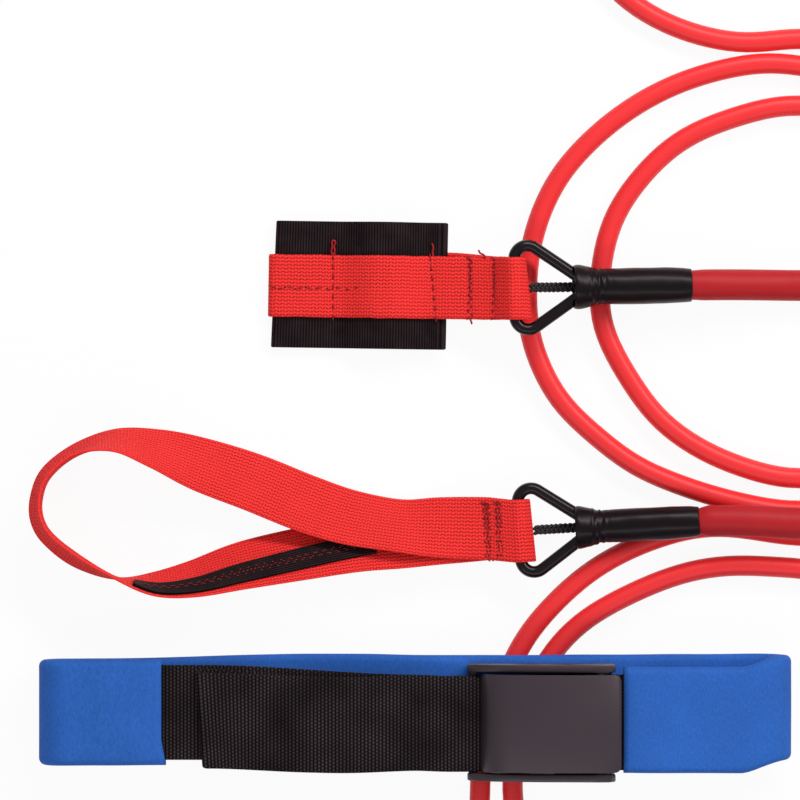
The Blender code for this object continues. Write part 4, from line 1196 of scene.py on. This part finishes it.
def build_slider_sleeve():
    low = tether("strap_thickness") + TOUCH + PAD_T / 2
    high = low + PAD_T + TOUCH
    fold = (high - low) / 2
    left, right = PAD_LEFT + fold + PAD_T / 2, PAD_RIGHT - fold - PAD_T / 2
    line = [(x, low + slider_rise(x)) for x in steps_between(left, right, 2.5)]
    line += half_turn(right, low + fold + slider_rise(right), fold, -90, 90, 6)
    for x in steps_between(right, left, 2.0):
        line.append((x, high + slider_rise(x) + tunnel_opening(x)))
    line += half_turn(left, low + fold, fold, 90, 270, 6)

    def shape_ends(point):
        """The left edge leans, and at the right the lower layer reaches past the upper one."""
        lean = 0.028 * (point.y - 112) * ramp(point.x, -40.0, PAD_LEFT)
        above = (point.z - low - slider_rise(point.x)) / (high - low)
        reach = (1.4 - 1.9 * above) * ramp(point.x, 2.0, 11.0)
        return point + Vector((lean + reach, 0, 0))

    cloth(
        "slider_sleeve_woven", slider_stations(line, PAD_Y), PAD_W, PAD_T, "grosgrain_ribbon",
        "slider", "black_webbing", "slider_sleeve", closed=True, warp=shape_ends,
    )


def build_slider_strap():
    strap, wire, width = tether("strap_thickness"), tether("wire"), tether("strap_width")
    low, high = slider_heights()
    fold = (high - low) / 2
    left = SLIDER_LEFT + fold + strap / 2
    closing = steps_between(PAD_RIGHT, sewn_at(), 1.6)[1:]
    lower = steps_between(left, PAD_RIGHT, 2.5) + closing
    upper = closing[::-1] + steps_between(PAD_RIGHT, left, 1.6)
    line = [(x, slider_layers(x)[0]) for x in lower]
    line += wrap_round_bar(ENDS["a"]["bar"], strap, wire)
    line += [(x, slider_layers(x)[1]) for x in upper]
    line += half_turn(left, low + fold, fold, 90, 270, 8)

    def pull_in(point):
        """The sewing pulls the upper face down a little along each row."""
        if point.z < slider_top(point.x) - strap - 0.2:
            aside = LOWER_ASIDE * ramp(point.x, 4.0, 13.0) * ramp(point.x, 47.0, 13.0)
            return drawn_in(point + ACROSS * aside, ENDS["a"])
        rows = SLIDER_ROWS + SLIDER_ZIGZAGS
        pull = ROW_PULL * sum(bell((point.x - row) / ROW_GROOVE) for row in rows)
        edge = 0.3 * noise.noise(Vector((point.x * 0.16, point.y * 0.05, 3.0)))
        return drawn_in(point + Vector((0, edge, -pull)), ENDS["a"])

    cloth(
        "slider_strap_woven", slider_stations(line, SLIDER_Y), width, strap,
        "woven_polyester_webbing", "slider", "red_webbing", "slider_strap",
        closed=True, warp=pull_in, ribs=RED_RIBS,
    )


def on_slider(x, y, lift=THREAD_LIFT):
    return Vector((x, y, slider_top(x) + lift))


def sew_slider():
    """Two rows across the strap and one along it, two zigzags by the ring, and loose ends."""
    rows = []
    for x, lean in zip(SLIDER_ROWS, (0.0, 1.6)):
        rows.append([
            on_slider(x - lean * y / 17.0, slider_y(x) + y, -0.05)
            for y in steps_between(16.0, -16.0, 2.0)
        ])
    rows.append([
        on_slider(x, slider_y(x) - 1.2 + 0.5 * math.sin(x * 0.7), -0.05)
        for x in steps_between(-78.0, -33.5, 2.0)
    ])
    sew_with_hole_shade("slider_rows", rows, "slider", "red_webbing", 1.5, 1.1, 1.65)
    zigzags = []
    for x in SLIDER_ZIGZAGS:
        line = [on_slider(x, slider_y(x) + y) for y in steps_between(15.8, -15.8, 2.0)]
        zigzags.append(zigzag(line, 1.1))
    sew_with_hole_shade("slider_zigzags", zigzags, "slider", "red_webbing", 1.0, 1.1, 1.0)
    sleeve_top = slider_heights()[1] - tether("strap_thickness") / 2
    loose = []
    for row, thread in zip(SLIDER_ROWS, LOOSE_THREADS):
        points = []
        for along, out in thread:
            x = row + along
            height = sleeve_top + slider_rise(x) + tunnel_opening(x) + 0.4
            points.append((x, slider_y(x) + 16.2 + out, height))
        loose.append(points)
    for x, side, reach, lean in LOOSE_ENDS:
        y = slider_y(x) + side * 15.4
        z = slider_top(x)
        loose.append([
            (x, y, z), (x + lean * 0.2, y + side * reach * 0.4, z + 0.3),
            (x + lean * 0.8, y + side * reach * 0.65, z), (x + lean, y + side * reach, z - 0.4),
        ])
    for index, points in enumerate(loose):
        line = [Vector(point) for point in smooth(points, 0.6)]
        made = rod(f"slider_thread_{index}", line, LOOSE_THREAD_R, "twisted_nylon_thread", 10)
        place_piece(made, "slider", "red_webbing")


# Anchor loop


ANCHOR_COURSE = (
    # x, y, z of the middle, and the roll in degrees: 90 face up, 0 on edge, -90 face down
    (34.5, -14.7, 13.0, 90), (10, -14.2, 11.6, 74), (-11, -13.3, 10.8, 56), (-37, -9.0, 9.4, 60),
    (-60, -1.8, 8.2, 66), (-87, 9.0, 7.9, 66), (-113, 18.0, 9.9, 58), (-138, 26.6, 13.8, 37),
    (-160, 31.0, 16.6, 19), (-180, 26.5, 16.9, 9), (-195, 14.6, 16.9, 10),
    (-200.3, 1.6, 16.9, 11), (-199.8, -10.4, 16.8, 13), (-193.5, -20.8, 16.7, 13),
    (-178.4, -32.2, 16.7, 12), (-158, -40.6, 16.8, 2), (-138, -43.4, 16.2, -20),
    (-118, -40.8, 14.6, -34), (-92, -33.8, 12.6, -48), (-60, -27.5, 10.8, -56),
    (-33, -23.0, 9.6, -60), (-11, -20.6, 9.0, -66), (10, -17.6, 9.6, -76), (34.5, -14.9, 11.1, -90),
)


def anchor_band():
    """Stations of the anchor loop between the sewn joint's two sides, with the outer normal."""
    points = smooth(ANCHOR_COURSE, ANCHOR_STEP)
    found = []
    for index, (x, y, z, roll) in enumerate(points):
        near = Vector(points[min(index + 1, len(points) - 1)][:3])
        back = Vector(points[max(index - 1, 0)][:3])
        along = (near - back).normalized()
        outward = along.cross(UP).normalized()
        lift = outward.cross(along)
        if lift.z < 0:
            lift = -lift
        angle = math.radians(roll)
        normal = (outward * math.cos(angle) + lift * math.sin(angle)).normalized()
        found.append((Vector((x, y, z)), along.cross(normal).normalized(), normal))
    return found


def build_anchor_strap():
    strap, wire, width = tether("strap_thickness"), tether("wire"), tether("strap_width")
    bar = ENDS["b"]["bar"]
    stations = [(centre, across) for centre, across, _ in anchor_band()]
    yaw = turned(ENDS["b"]["turn"])
    turn = []
    for x, z in wrap_round_bar(bar, strap, wire):
        turn.append((bar + yaw @ Vector((x - bar.x, 0, z - bar.z)), yaw @ ACROSS))
    joint = bridge(stations[-1], turn[0]) + turn + bridge(turn[-1], stations[0])

    def bow(here):
        """Round the loop's far end the strap bows in across its width."""
        return -ANCHOR_BOW * ramp(here.x, -150.0, -185.0)

    cloth(
        "anchor_strap_woven", stations + joint, width, strap, "woven_polyester_webbing",
        "anchor_loop", "red_webbing", "anchor_strap",
        closed=True, warp=lambda point: drawn_in(point, ENDS["b"]), ribs=RED_RIBS, bow=bow,
    )


def bridge(start, end, count=5):
    """Stations between two stations, both left out."""
    return [
        (start[0].lerp(end[0], k / count), start[1].lerp(end[1], k / count))
        for k in range(1, count)
    ]


def build_grip_strip():
    width, thickness = tether("grip_width"), tether("grip_thickness")
    offset = tether("strap_thickness") / 2 + TOUCH + thickness / 2
    rows = anchor_band()
    lower = rows[len(rows) // 2:]
    chosen = [row for row in lower if GRIP_LEFT < row[0].x < GRIP_RIGHT]
    stations = []
    path = []
    for index, (centre, across, normal) in enumerate(chosen):
        drift = min(9.6, 10.5 - 9.5 * index / (len(chosen) - 1))
        middle = centre - normal * offset - across * drift
        stations.append((middle, across))
        swing = 2.0 if index % 2 else -2.0
        path.append(middle - normal * (thickness / 2 + THREAD_LIFT) + across * swing)
    made, _ = band("grip_strip_woven", stations, width, thickness, "grip_ribbon")
    place_piece(made, "anchor_loop", "black_webbing", "grip_strip")
    sew(
        "grip_stitching", [path], "twisted_nylon_thread", "anchor_loop", "red_webbing",
        longer=0.5, thicker=0.75, spread=0.75,
    )


def sew_anchor():
    """Two rows of zigzag through the joint by the ring."""
    bar = ENDS["b"]["bar"]
    lift = tether("strap_thickness") / 2 + THREAD_LIFT
    yaw = turned(ENDS["b"]["turn"])
    rows = []
    for from_bar, z in ANCHOR_ROWS:
        for sideways in (-0.9, 0.9):
            line = []
            for y in steps_between(15.6, -14.2, 2.0):
                middle = bar + yaw @ Vector((from_bar + sideways, y, 0))
                line.append(Vector((middle.x, middle.y, z + lift + 0.3 * sideways)))
            rows.append(zigzag(line, 0.9))
    sew_with_hole_shade("anchor_zigzags", rows, "anchor_loop", "red_webbing", 1.0, 1.1, 1.0)


# Tether ends


def ring_path():
    """Half of the ring's wire: out along the bar, round the corner and down the leg."""
    wire = tether("wire")
    corner = Vector((RING_CORNER_R, RING_HALF - RING_CORNER_R, 0))
    foot = Vector((RING_LENGTH, wire / 2 + TOUCH, 0))
    leg = foot - corner
    lean = math.atan2(leg.y, leg.x)
    stop = lean + math.acos(RING_CORNER_R / leg.length)
    points = [Vector((0, corner.y * k / 4, 0)) for k in range(4)]
    steps = 20
    for index in range(steps + 1):
        angle = math.pi + (stop - math.pi) * index / steps
        points.append(corner + RING_CORNER_R * Vector((math.cos(angle), math.sin(angle), 0)))
    tangent = points[-1]
    points += [tangent.lerp(foot, k / 5) for k in range(1, 5)]
    points.append(foot)
    points.append(foot + Vector((3.0, 0, 0)))
    return points


def build_ring(letter, end):
    wire = tether("wire")
    half = ring_path()
    mirrored = [Vector((point.x, -point.y, 0)) for point in reversed(half[1:])]
    place = end_place(end)
    line = [place @ point for point in mirrored + half]
    made = rod(f"ring_{letter}_wire", line, wire / 2, "baked_enamel", 32)
    place_piece(made, ROOT, "black_enamel", f"ring_{letter}")


def squeezed_sleeve_r(end):
    """The end sleeve's outer radius where the boot grips it."""
    return end["boot"][3] - BOOT_WALL * 0.7 - TOUCH


def boot_radius(end, along):
    """The boot's outer radius at a distance from the ring's bar."""
    collar, neck, middle, rear = end["boot"]
    start, stop = end["boot_from"], end["boot_to"]
    knots = [
        (start, collar - 0.5), (start + 1.4, collar), (start + 4.0, collar - 0.3),
        (start + 9.0, (collar + neck) / 2), (start + NECK_AT, neck),
        (start + 15.5, (neck + middle) / 2), (start + 21.0, middle),
        (stop - 14.0, middle), (stop - 4.0, (middle + rear) / 2), (stop, rear),
    ]
    for (start, low), (stop, high) in zip(knots, knots[1:]):
        if along <= stop:
            return low + (high - low) * (along - start) / (stop - start)
    return rear


def build_boot(letter, end):
    """The shrink boot, drawn tight and creased round its neck."""
    seed = end["creases"]
    start = end["boot_from"]
    length = end["boot_to"] - start
    rows = 90
    places = [start + length * row / rows for row in range(rows + 1)]
    line = [end_point(end, along) for along in places]
    neck_inner = end["boot"][1] - BOOT_WALL
    rear_bore = squeezed_sleeve_r(end) + TOUCH

    def outer(row):
        around = (-BOOT_BLUR, 0.0, BOOT_BLUR)
        return sum(boot_radius(end, places[row] + shift) for shift in around) / len(around)

    def inner(row):
        along = places[row]
        if along < start + NECK_AT:
            return outer(row) - BOOT_WALL
        return neck_inner if along < SLEEVE_START - 0.5 else rear_bore

    def creases(travelled, angle):
        around = Vector((0, math.cos(angle), math.sin(angle) + seed))
        near_neck = bell((travelled - NECK_AT) / 4.2)
        ripple = noise.noise(Vector((travelled * 1.1, 0, 0)) + around * 0.9)
        fold = abs(math.sin(travelled * 0.95 + 1.1 * math.sin(angle + seed))) ** 3
        facet = noise.noise(Vector((travelled * 0.12, 0, 0)) + around * 1.7)
        slow = noise.noise(Vector((travelled * 0.09, 0, 0)) + around)
        collar = bell((travelled - 5.0) / 5.0)
        return 0.85 * near_neck * fold * (0.6 + ripple) + 0.5 * collar * facet + 0.22 * slow

    made = hose(f"boot_{letter}_skin", line, outer, inner, "shrink_tubing", 64, creases)
    place_piece(made, ROOT, "black_shrink", f"boot_{letter}")


def build_sleeve(letter, end):
    """The dull red sleeve over the tube, and the tube's end inside it."""
    tube_r = tether("tube") / 2
    bore_r = tube_r + TOUCH
    full = bore_r + tether("sleeve_wall")
    grip = squeezed_sleeve_r(end)
    line = [Vector(point) for point in smooth(end_route(end, SLEEVE_START), 2.5)]
    reach = [(point - line[0]).length for point in line]
    held = (end_point(end, BOOT_END) - line[0]).length

    def outer(row):
        """The boot grips the sleeve, which swells to its full size just behind it."""
        return grip + (full - grip) * ramp(reach[row] - held, SWELL_START, SWELL_END)

    made = hose(f"end_sleeve_{letter}_rubber", line, outer, lambda row: bore_r, "dipped_rubber")
    place_piece(made, ROOT, "dull_red_rubber", f"end_sleeve_{letter}")
    start = PLUG_FACE + PLUG_LENGTH + TOUCH
    line = [Vector(point) for point in smooth(end_route(end, start), 4.0)]
    made = hose(
        f"tube_end_{letter}_rubber", line, lambda row: tube_r, lambda row: TUBE_BORE_R,
        "extruded_latex", 32,
    )
    place_piece(made, ROOT, "red_rubber", f"tube_end_{letter}")


def build_safety_cord(letter, end):
    """A flat cord of three plaited strands from the strap's end to the plug, under the ring's
    apex."""
    thickness, width = tether("cord_thickness"), tether("cord_width")
    under = -(tether("wire") / 2 + TOUCH + thickness / 2 + 0.2)
    tip = STRAP_HUG + (STRAP_OVERHANG - STRAP_HUG) * end["tip"][0]
    points = [
        (tip + 0.5, 0, 0), (tip + 4.0, 0, -0.6), (19.0, 0, under * 0.7),
        (24.0, 0, under), (30.0, 0, under), (PLUG_FACE - TOUCH, 0, under),
    ]
    place = end_place(end)
    line = [place @ Vector(point) for point in smooth(points, 0.8)]
    across = place.to_3x3() @ ACROSS
    strand_r = STRAND_SHARE * thickness
    swing = width / 2 - strand_r
    built = []
    for index in range(3):
        shifted = []
        for point in line:
            turn = 2 * math.pi * ((point - line[0]).length / PLAIT + index / 3)
            rise = (thickness / 2 - strand_r) * math.sin(2 * turn)
            shifted.append(point + across * swing * math.sin(turn) + UP * rise)
        built.append(rod(f"strand_{index}", shifted, strand_r, "braided_nylon", 14))
    made = joined(f"safety_cord_{letter}_strands", built)
    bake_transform(made)
    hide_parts(f"safety_cord_{letter}")


def joined(name, pieces):
    """Several meshes as one piece."""
    shape = bmesh.new()
    for piece in pieces:
        shape.from_mesh(piece.data)
    mesh = bpy.data.meshes.new(name)
    shape.to_mesh(mesh)
    shape.free()
    mesh.shade_smooth()
    finish = pieces[0].data.materials[0].name
    for piece in pieces:
        bpy.data.objects.remove(piece, do_unlink=True)
    return add_object(name, mesh, finish)


# Belt


def belt_levels():
    """Middle heights of the belt's layers, from the floor up."""
    foam, web = belt("foam_thickness"), belt("webbing_thickness")
    arch = tether("tube") + 2 * FLOOR_GAP + TOUCH + foam / 2
    back_fold = arch + foam / 2 + FOAM_TO_WEB + web / 2
    bar = back_fold + web / 2 + TOUCH + BAR_T / 2
    front = bar + BAR_T / 2 + TOUCH + web / 2
    return {
        "floor": foam / 2,
        "arch": arch,
        "web_return": back_fold,
        "web": front,
        "tail": front + web + 2 * TOUCH,
        "tail_return": front + web + TOUCH,
    }


def back_y(x):
    """The lower layer's middle across Y: it lies askew towards the left fold."""
    return BACK_Y - 2.5 * ramp(x, -60.0, -170.0)


def front_y(x):
    """The upper layer's middle across Y, turned back to the lower layer's at the right fold."""
    left = FRONT_Y_LEFT + (FRONT_Y - FRONT_Y_LEFT) * ramp(x, TAIL_FOLD, 0.0)
    return left + (BACK_Y - FRONT_Y) * ramp(x, 164.0, 187.0)


def pulled_aside(x):
    """How far both straps lie towards the buckle's near rail."""
    return NEAR_RAIL_PULL * ramp(x, -5.0, 15.0) * ramp(x, 60.0, 40.0)


def back_z(x, levels):
    """The lower layer's middle height: on the floor, and arched over the tube."""
    rise = ramp(x, ARCH_LEFT - ARCH_RUN, ARCH_LEFT) * ramp(x, ARCH_RIGHT + ARCH_RUN, ARCH_RIGHT)
    return levels["floor"] + (levels["arch"] - levels["floor"]) * rise


def belt_loop(left_end, right_end, step):
    """The belt's middle line from a place on its left front, round the left fold, along the back,
    round the right fold, to a place on its right front."""
    levels = belt_levels()
    left_r = (levels["web"] - levels["floor"]) / 2
    right_r = (levels["tail"] - levels["floor"]) / 2
    left_x = BELT_LEFT + belt("foam_thickness") / 2 + left_r
    right_x = BELT_RIGHT - belt("foam_thickness") / 2 - right_r
    line = [(x, front_y(x), levels["web"]) for x in steps_between(left_end, left_x, step)]
    turn = 20
    fold = half_turn(left_x, levels["floor"] + left_r, left_r, 90, 270, turn)
    for index, (x, z) in enumerate(fold, 1):
        y = front_y(left_x) + (back_y(left_x) - front_y(left_x)) * index / turn
        line.append((x, y, z))
    line += [(x, back_y(x), back_z(x, levels)) for x in steps_between(left_x, right_x, step)]
    fold = half_turn(right_x, levels["floor"] + right_r, right_r, -90, 90, turn)
    for index, (x, z) in enumerate(fold, 1):
        line.append((x, back_y(x) if index < turn / 2 else front_y(x), z))
    line += [(x, front_y(x), levels["tail"]) for x in steps_between(right_x, right_end, step)]
    return [Vector(point) for point in line]


def rounded_section(width, height, radius, steps=6, spans=14):
    """A rounded rectangle as (across, out), with extra points along its long sides."""
    points = []
    for quarter, (side, top) in enumerate(((1, 1), (-1, 1), (-1, -1), (1, -1))):
        for step in range(steps + 1):
            angle = math.radians(90 * quarter + 90 * step / steps)
            points.append(
                (
                    side * (width / 2 - radius) + radius * math.cos(angle),
                    top * (height / 2 - radius) + radius * math.sin(angle),
                )
            )
        if quarter in (0, 2):
            start = points[-1]
            for span in range(1, spans):
                points.append((start[0] - side * (width - 2 * radius) * span / spans, start[1]))
    return points


def build_foam():
    """The foam sleeve: a soft band with a slot for the webbing, open at both ends."""
    levels = belt_levels()
    line = belt_loop(FOAM_FRONT_END_LEFT, FOAM_FRONT_END_RIGHT, FOAM_STEP)
    outer = rounded_section(belt("foam_width"), belt("foam_thickness"), FOAM_CORNER_R)
    slot = rounded_section(
        belt("webbing_width") + 2 * LOOSE, belt("webbing_thickness") + 2 * LOOSE, SLOT_CORNER_R
    )
    outwards = [-inward for _, inward in frames_along(line, [ACROSS] * len(line))]
    points = []
    for row, here in enumerate(line):
        swell = Vector((here.x * 0.03, here.y * 0.02, here.z * 0.05))
        tuck = FOAM_TUCK * ramp(here.x, -166.0, -134.0) * ramp(here.x, -86.0, -112.0)
        aside = FOAM_ASIDE * ramp(here.x, 90.0, 105.0) * ramp(here.x, 200.0, 160.0)
        aside *= ramp(here.z, levels["arch"], levels["arch"] + 4.0)
        for across, out in outer:
            sag = FOAM_SAG * noise.noise(swell + Vector((0, across * 0.05, out * 0.1)))
            if across < 0 and here.z < levels["arch"]:
                across *= 1 - tuck
            cut = FOAM_CUT_LEAN * ramp(across, -12.0, -27.0) * ramp(row * FOAM_STEP, 12.0, 0.0)
            moved = here + Vector((cut, across + sag + aside, 0))
            points.append(moved + outwards[row] * (out + 0.4 * sag))
    for here, outward in zip(reversed(line), reversed(outwards)):
        points += [here + ACROSS * across + outward * out for across, out in slot]
    faces = wall_faces(2 * len(line), len(outer), closed=True)
    made = mesh_object("foam_sleeve_soft", points, faces, "skinned_neoprene_foam")
    place_piece(made, ROOT, "blue_foam", "foam_sleeve")


def build_belt_webbing():
    """The fixed webbing, sewn round the buckle's bar."""
    levels = belt_levels()
    width, web = belt("webbing_width") - FIXED_NARROWER, belt("webbing_thickness")
    turn_x = BUCKLE_LEFT + BAR_W
    wrap_r = (levels["web"] - levels["web_return"]) / 2
    line = []
    for x in steps_between(2.0, turn_x, 2.0):
        lift = (levels["web"] - web - TOUCH - levels["web_return"]) * ramp(x, 22.0, 10.0)
        line.append((x, levels["web_return"] + lift))
    line += half_turn(turn_x, levels["web_return"] + wrap_r, wrap_r, -90, 90, 10)
    line += [(x, levels["web"]) for x in steps_between(turn_x, FOAM_FRONT_END_LEFT + 4, 4.0)]
    stations = [(Vector((x, front_y(x) - pulled_aside(x), z)), ACROSS) for x, z in line]
    stations += [(point, ACROSS) for point in belt_loop(FOAM_FRONT_END_LEFT, WEB_HIDDEN_END, 4.0)]
    cloth(
        "belt_webbing_woven", stations, width, web, "woven_polypropylene_webbing",
        ROOT, "black_webbing", "belt_webbing", ribs=BLACK_RIBS,
    )


def build_belt_tail():
    """The free webbing: out of the right foam, under the lever, left along the belt and folded
    back under itself a little askew."""
    levels = belt_levels()
    width, web = belt("webbing_width") - FREE_NARROWER, belt("webbing_thickness")
    top = levels["tail_return"] + 2 * TAIL_FOLD_R
    line = [(x, levels["tail"]) for x in steps_between(TAIL_HIDDEN_END, 0.0, 5.0)]
    for x in steps_between(0.0, TAIL_FOLD, 2.5)[1:]:
        line.append((x, levels["tail"] + (top - levels["tail"]) * ramp(x, 0.0, -55.0)))
    upper = len(line)
    turn = 16
    line += half_turn(TAIL_FOLD, levels["tail_return"] + TAIL_FOLD_R, TAIL_FOLD_R, 90, 270, turn)
    line += [(x, levels["tail_return"]) for x in steps_between(TAIL_FOLD, TAIL_RETURN_END, 3.0)]
    stations = []
    for index, (x, z) in enumerate(line):
        y = FRONT_Y - 0.5 * ramp(x, -5.0, -45.0) - TAIL_SAG * bell((x + 35.0) / 30.0)
        y += TAIL_RISE * ramp(x, -60.0, -110.0) - pulled_aside(x)
        past_fold = (index - upper) / turn
        y += TAIL_SHIFT * ease(past_fold) * ramp(x, TAIL_RETURN_END + 5, TAIL_RETURN_END - 60)
        lean = TAIL_LEAN * ramp(x, -84.0, -114.0)
        stations.append((Vector((x, y, z)), turned(lean) @ ACROSS))
    cloth(
        "belt_tail_woven", stations, width, web, "woven_polypropylene_webbing",
        "tail", "black_webbing", "belt_tail", ribs=BLACK_RIBS,
    )


def slope_nose(point):
    """The lever's dome falls away over its nose."""
    past_pin = ramp(point.x, PIN_X - 5.0, PIN_X + 10.0) * ramp(point.z, PIN_Z + 4.5, PIN_Z + 7.5)
    return point - UP * NOSE_DROP * past_pin


# The add-on's operators


class SWIMBELT_OT_finishes(bpy.types.Operator):
    """Make every finish"""

    bl_idname = "swimbelt.finishes"
    bl_label = "Finishes"

    def execute(self, context):
        colours = context.scene.swim_belt_colours
        latex_tube_finish(colours.tube)
        dipped_sleeve_finish(colours.sleeve)
        red_webbing_finish(colours.red_webbing)
        black_webbing_finish(colours.black_webbing, colours.webbing_crest_sheen)
        grosgrain_finish("grosgrain_ribbon", colours.grosgrain, 1.45, False)
        grosgrain_finish("grip_ribbon", colours.grosgrain, 1.3, True)
        twisted_thread_finish("braided_nylon", colours.grosgrain)
        twisted_thread_finish("twisted_nylon_thread", colours.thread)
        # A dark thread colour, painted as the shade in the needle holes
        twisted_thread_finish("needle_holes", opaque(colours.thread, 0.35))
        foam_finish(colours.foam)
        moulded_finish("moulded_acetal", colours.buckle, 0.4, 0.65, 0.03)
        moulded_finish("baked_enamel", colours.enamel, 0.24, 0.3, 0.003)
        moulded_finish("shrink_tubing", colours.boot, 0.34, 0.2, 0.02)
        plated_steel_finish(colours.steel)
        floor_finish(colours.floor)
        return {"FINISHED"}


class SWIMBELT_OT_camera(bpy.types.Operator):
    """Set the camera straight above the belt"""

    bl_idname = "swimbelt.camera"
    bl_label = "Camera"

    def execute(self, context):
        data = bpy.data.cameras.new("camera")
        data.type = "PERSP"
        data.lens = LENS
        data.sensor_width = SENSOR
        distance = VIEW_SIDE * LENS / SENSOR
        data.clip_end = 100.0
        made = bpy.data.objects.new("camera", data)
        context.scene.collection.objects.link(made)
        made.location = (VIEW_MIDDLE + UP * distance) * MM
        context.scene.camera = made
        return {"FINISHED"}


class SWIMBELT_OT_tube(bpy.types.Operator):
    """Lay the free rubber tube"""

    bl_idname = "swimbelt.tube"
    bl_label = "Rubber tube"

    def execute(self, context):
        diameter = context.scene.swim_belt_tether.tube
        route = smooth(tube_route(in_mm(diameter)), TUBE_STEP)
        points = [point * MM for point in faired(route, tube_height(in_mm(diameter)))]
        curve = bpy.data.curves.new("free_tube", "CURVE")
        curve.dimensions = "3D"
        curve.bevel_depth = diameter / 2
        curve.bevel_resolution = 12
        curve.use_fill_caps = True
        line = curve.splines.new("POLY")
        line.points.add(len(points) - 1)
        for knot, point in zip(line.points, points):
            knot.co = (*point, 1)
        line.use_smooth = True
        made = add_object("free_tube", curve, "extruded_latex")
        place_piece(made, ROOT, "red_rubber", "resistance_tube")
        return {"FINISHED"}


class SWIMBELT_OT_tether_ends(bpy.types.Operator):
    """Make the rings, boots, end sleeves and safety cords"""

    bl_idname = "swimbelt.tether_ends"
    bl_label = "Tether ends"

    def execute(self, context):
        for letter, end in ENDS.items():
            build_ring(letter, end)
            build_boot(letter, end)
            build_sleeve(letter, end)
            build_safety_cord(letter, end)
            polished(
                f"plug_{letter}", f"end_plug_{letter}", "moulded_acetal", PLUG_EDGE * MM, ROOT,
                "black_plastic",
            )
            polished(
                f"clamp_{letter}", f"tube_clamp_{letter}", "plated_steel", CLAMP_EDGE * MM, ROOT,
                "steel",
            )
        return {"FINISHED"}


class SWIMBELT_OT_slider(bpy.types.Operator):
    """Weave and sew the slider"""

    bl_idname = "swimbelt.slider"
    bl_label = "Slider"

    def execute(self, context):
        build_slider_sleeve()
        build_slider_strap()
        sew_slider()
        return {"FINISHED"}


class SWIMBELT_OT_anchor_loop(bpy.types.Operator):
    """Weave and sew the anchor loop"""

    bl_idname = "swimbelt.anchor_loop"
    bl_label = "Anchor loop"

    def execute(self, context):
        build_anchor_strap()
        build_grip_strip()
        sew_anchor()
        return {"FINISHED"}


class SWIMBELT_OT_belt(bpy.types.Operator):
    """Make the foam sleeve and the belt's webbing"""

    bl_idname = "swimbelt.belt"
    bl_label = "Belt"

    def execute(self, context):
        build_foam()
        build_belt_webbing()
        build_belt_tail()
        return {"FINISHED"}


class SWIMBELT_OT_buckle(bpy.types.Operator):
    """Finish the buckle's frame, lever and pin"""

    bl_idname = "swimbelt.buckle"
    bl_label = "Buckle"

    def execute(self, context):
        edge = context.scene.swim_belt_belt.edge_radius
        polished(
            "buckle_frame_moulded", "buckle_frame", "moulded_acetal", edge / 2, ROOT,
            "black_plastic",
        )
        polished(
            "buckle_lever_moulded", "buckle_lever", "moulded_acetal", edge, "lever",
            "black_plastic", slope_nose,
        )
        polished("buckle_pin_steel", "buckle_pin", "plated_steel", edge / 2, ROOT, "steel")
        return {"FINISHED"}


class SWIMBELT_OT_stage(bpy.types.Operator):
    """Set the floor and the studio light"""

    bl_idname = "swimbelt.stage"
    bl_label = "Stage"

    def execute(self, context):
        mesh = bpy.data.meshes.new("floor")
        corners = [
            Vector((side * FLOOR_HALF, far * FLOOR_HALF, -FLOOR_DROP * MM))
            for side, far in ((-1, -1), (1, -1), (1, 1), (-1, 1))
        ]
        mesh.from_pydata(corners, [], [(0, 1, 2, 3)])
        add_object("floor", mesh, "white_paper")
        for name, (place, sides, power) in LAMPS.items():
            lamp = bpy.data.lights.new(name, "AREA")
            lamp.shape = "RECTANGLE"
            lamp.size, lamp.size_y = sides
            lamp.energy = power
            made = bpy.data.objects.new(name, lamp)
            context.scene.collection.objects.link(made)
            made.location = place
            made.rotation_euler = (-Vector(place)).to_track_quat("-Z", "Y").to_euler()
        context.scene.world = studio_finish()
        context.scene.view_settings.view_transform = "Standard"
        return {"FINISHED"}


STEPS = (
    SWIMBELT_OT_finishes,
    SWIMBELT_OT_camera,
    SWIMBELT_OT_tube,
    SWIMBELT_OT_tether_ends,
    SWIMBELT_OT_slider,
    SWIMBELT_OT_anchor_loop,
    SWIMBELT_OT_belt,
    SWIMBELT_OT_buckle,
    SWIMBELT_OT_stage,
)

SETTINGS = {
    "swim_belt_tether": SwimBeltTetherSizes,
    "swim_belt_belt": SwimBeltBeltSizes,
    "swim_belt_stitches": SwimBeltStitchSizes,
    "swim_belt_colours": SwimBeltColours,
}


class SWIMBELT_PT_panel(bpy.types.Panel):
    """Lists the belt's sizes, colours and steps"""

    bl_label = "Swim Resistance Belt"
    bl_idname = "SWIMBELT_PT_panel"
    bl_space_type = "VIEW_3D"
    bl_region_type = "UI"
    bl_category = "Swim Belt"

    def draw(self, context):
        for name, settings in SETTINGS.items():
            box = self.layout.box()
            group = getattr(context.scene, name)
            for key in settings.__annotations__:
                box.prop(group, key)
        for step in STEPS:
            self.layout.operator(step.bl_idname)


def register():
    for name, settings in SETTINGS.items():
        bpy.utils.register_class(settings)
        setattr(bpy.types.Scene, name, PointerProperty(type=settings))
    for step in STEPS:
        bpy.utils.register_class(step)
    bpy.utils.register_class(SWIMBELT_PT_panel)


def unregister():
    bpy.utils.unregister_class(SWIMBELT_PT_panel)
    for step in reversed(STEPS):
        bpy.utils.unregister_class(step)
    for name, settings in SETTINGS.items():
        delattr(bpy.types.Scene, name)
        bpy.utils.unregister_class(settings)


def main():
    register()
    for step in STEPS:
        group, name = step.bl_idname.split(".")
        getattr(getattr(bpy.ops, group), name)()


if __name__ == "__main__":
    main()
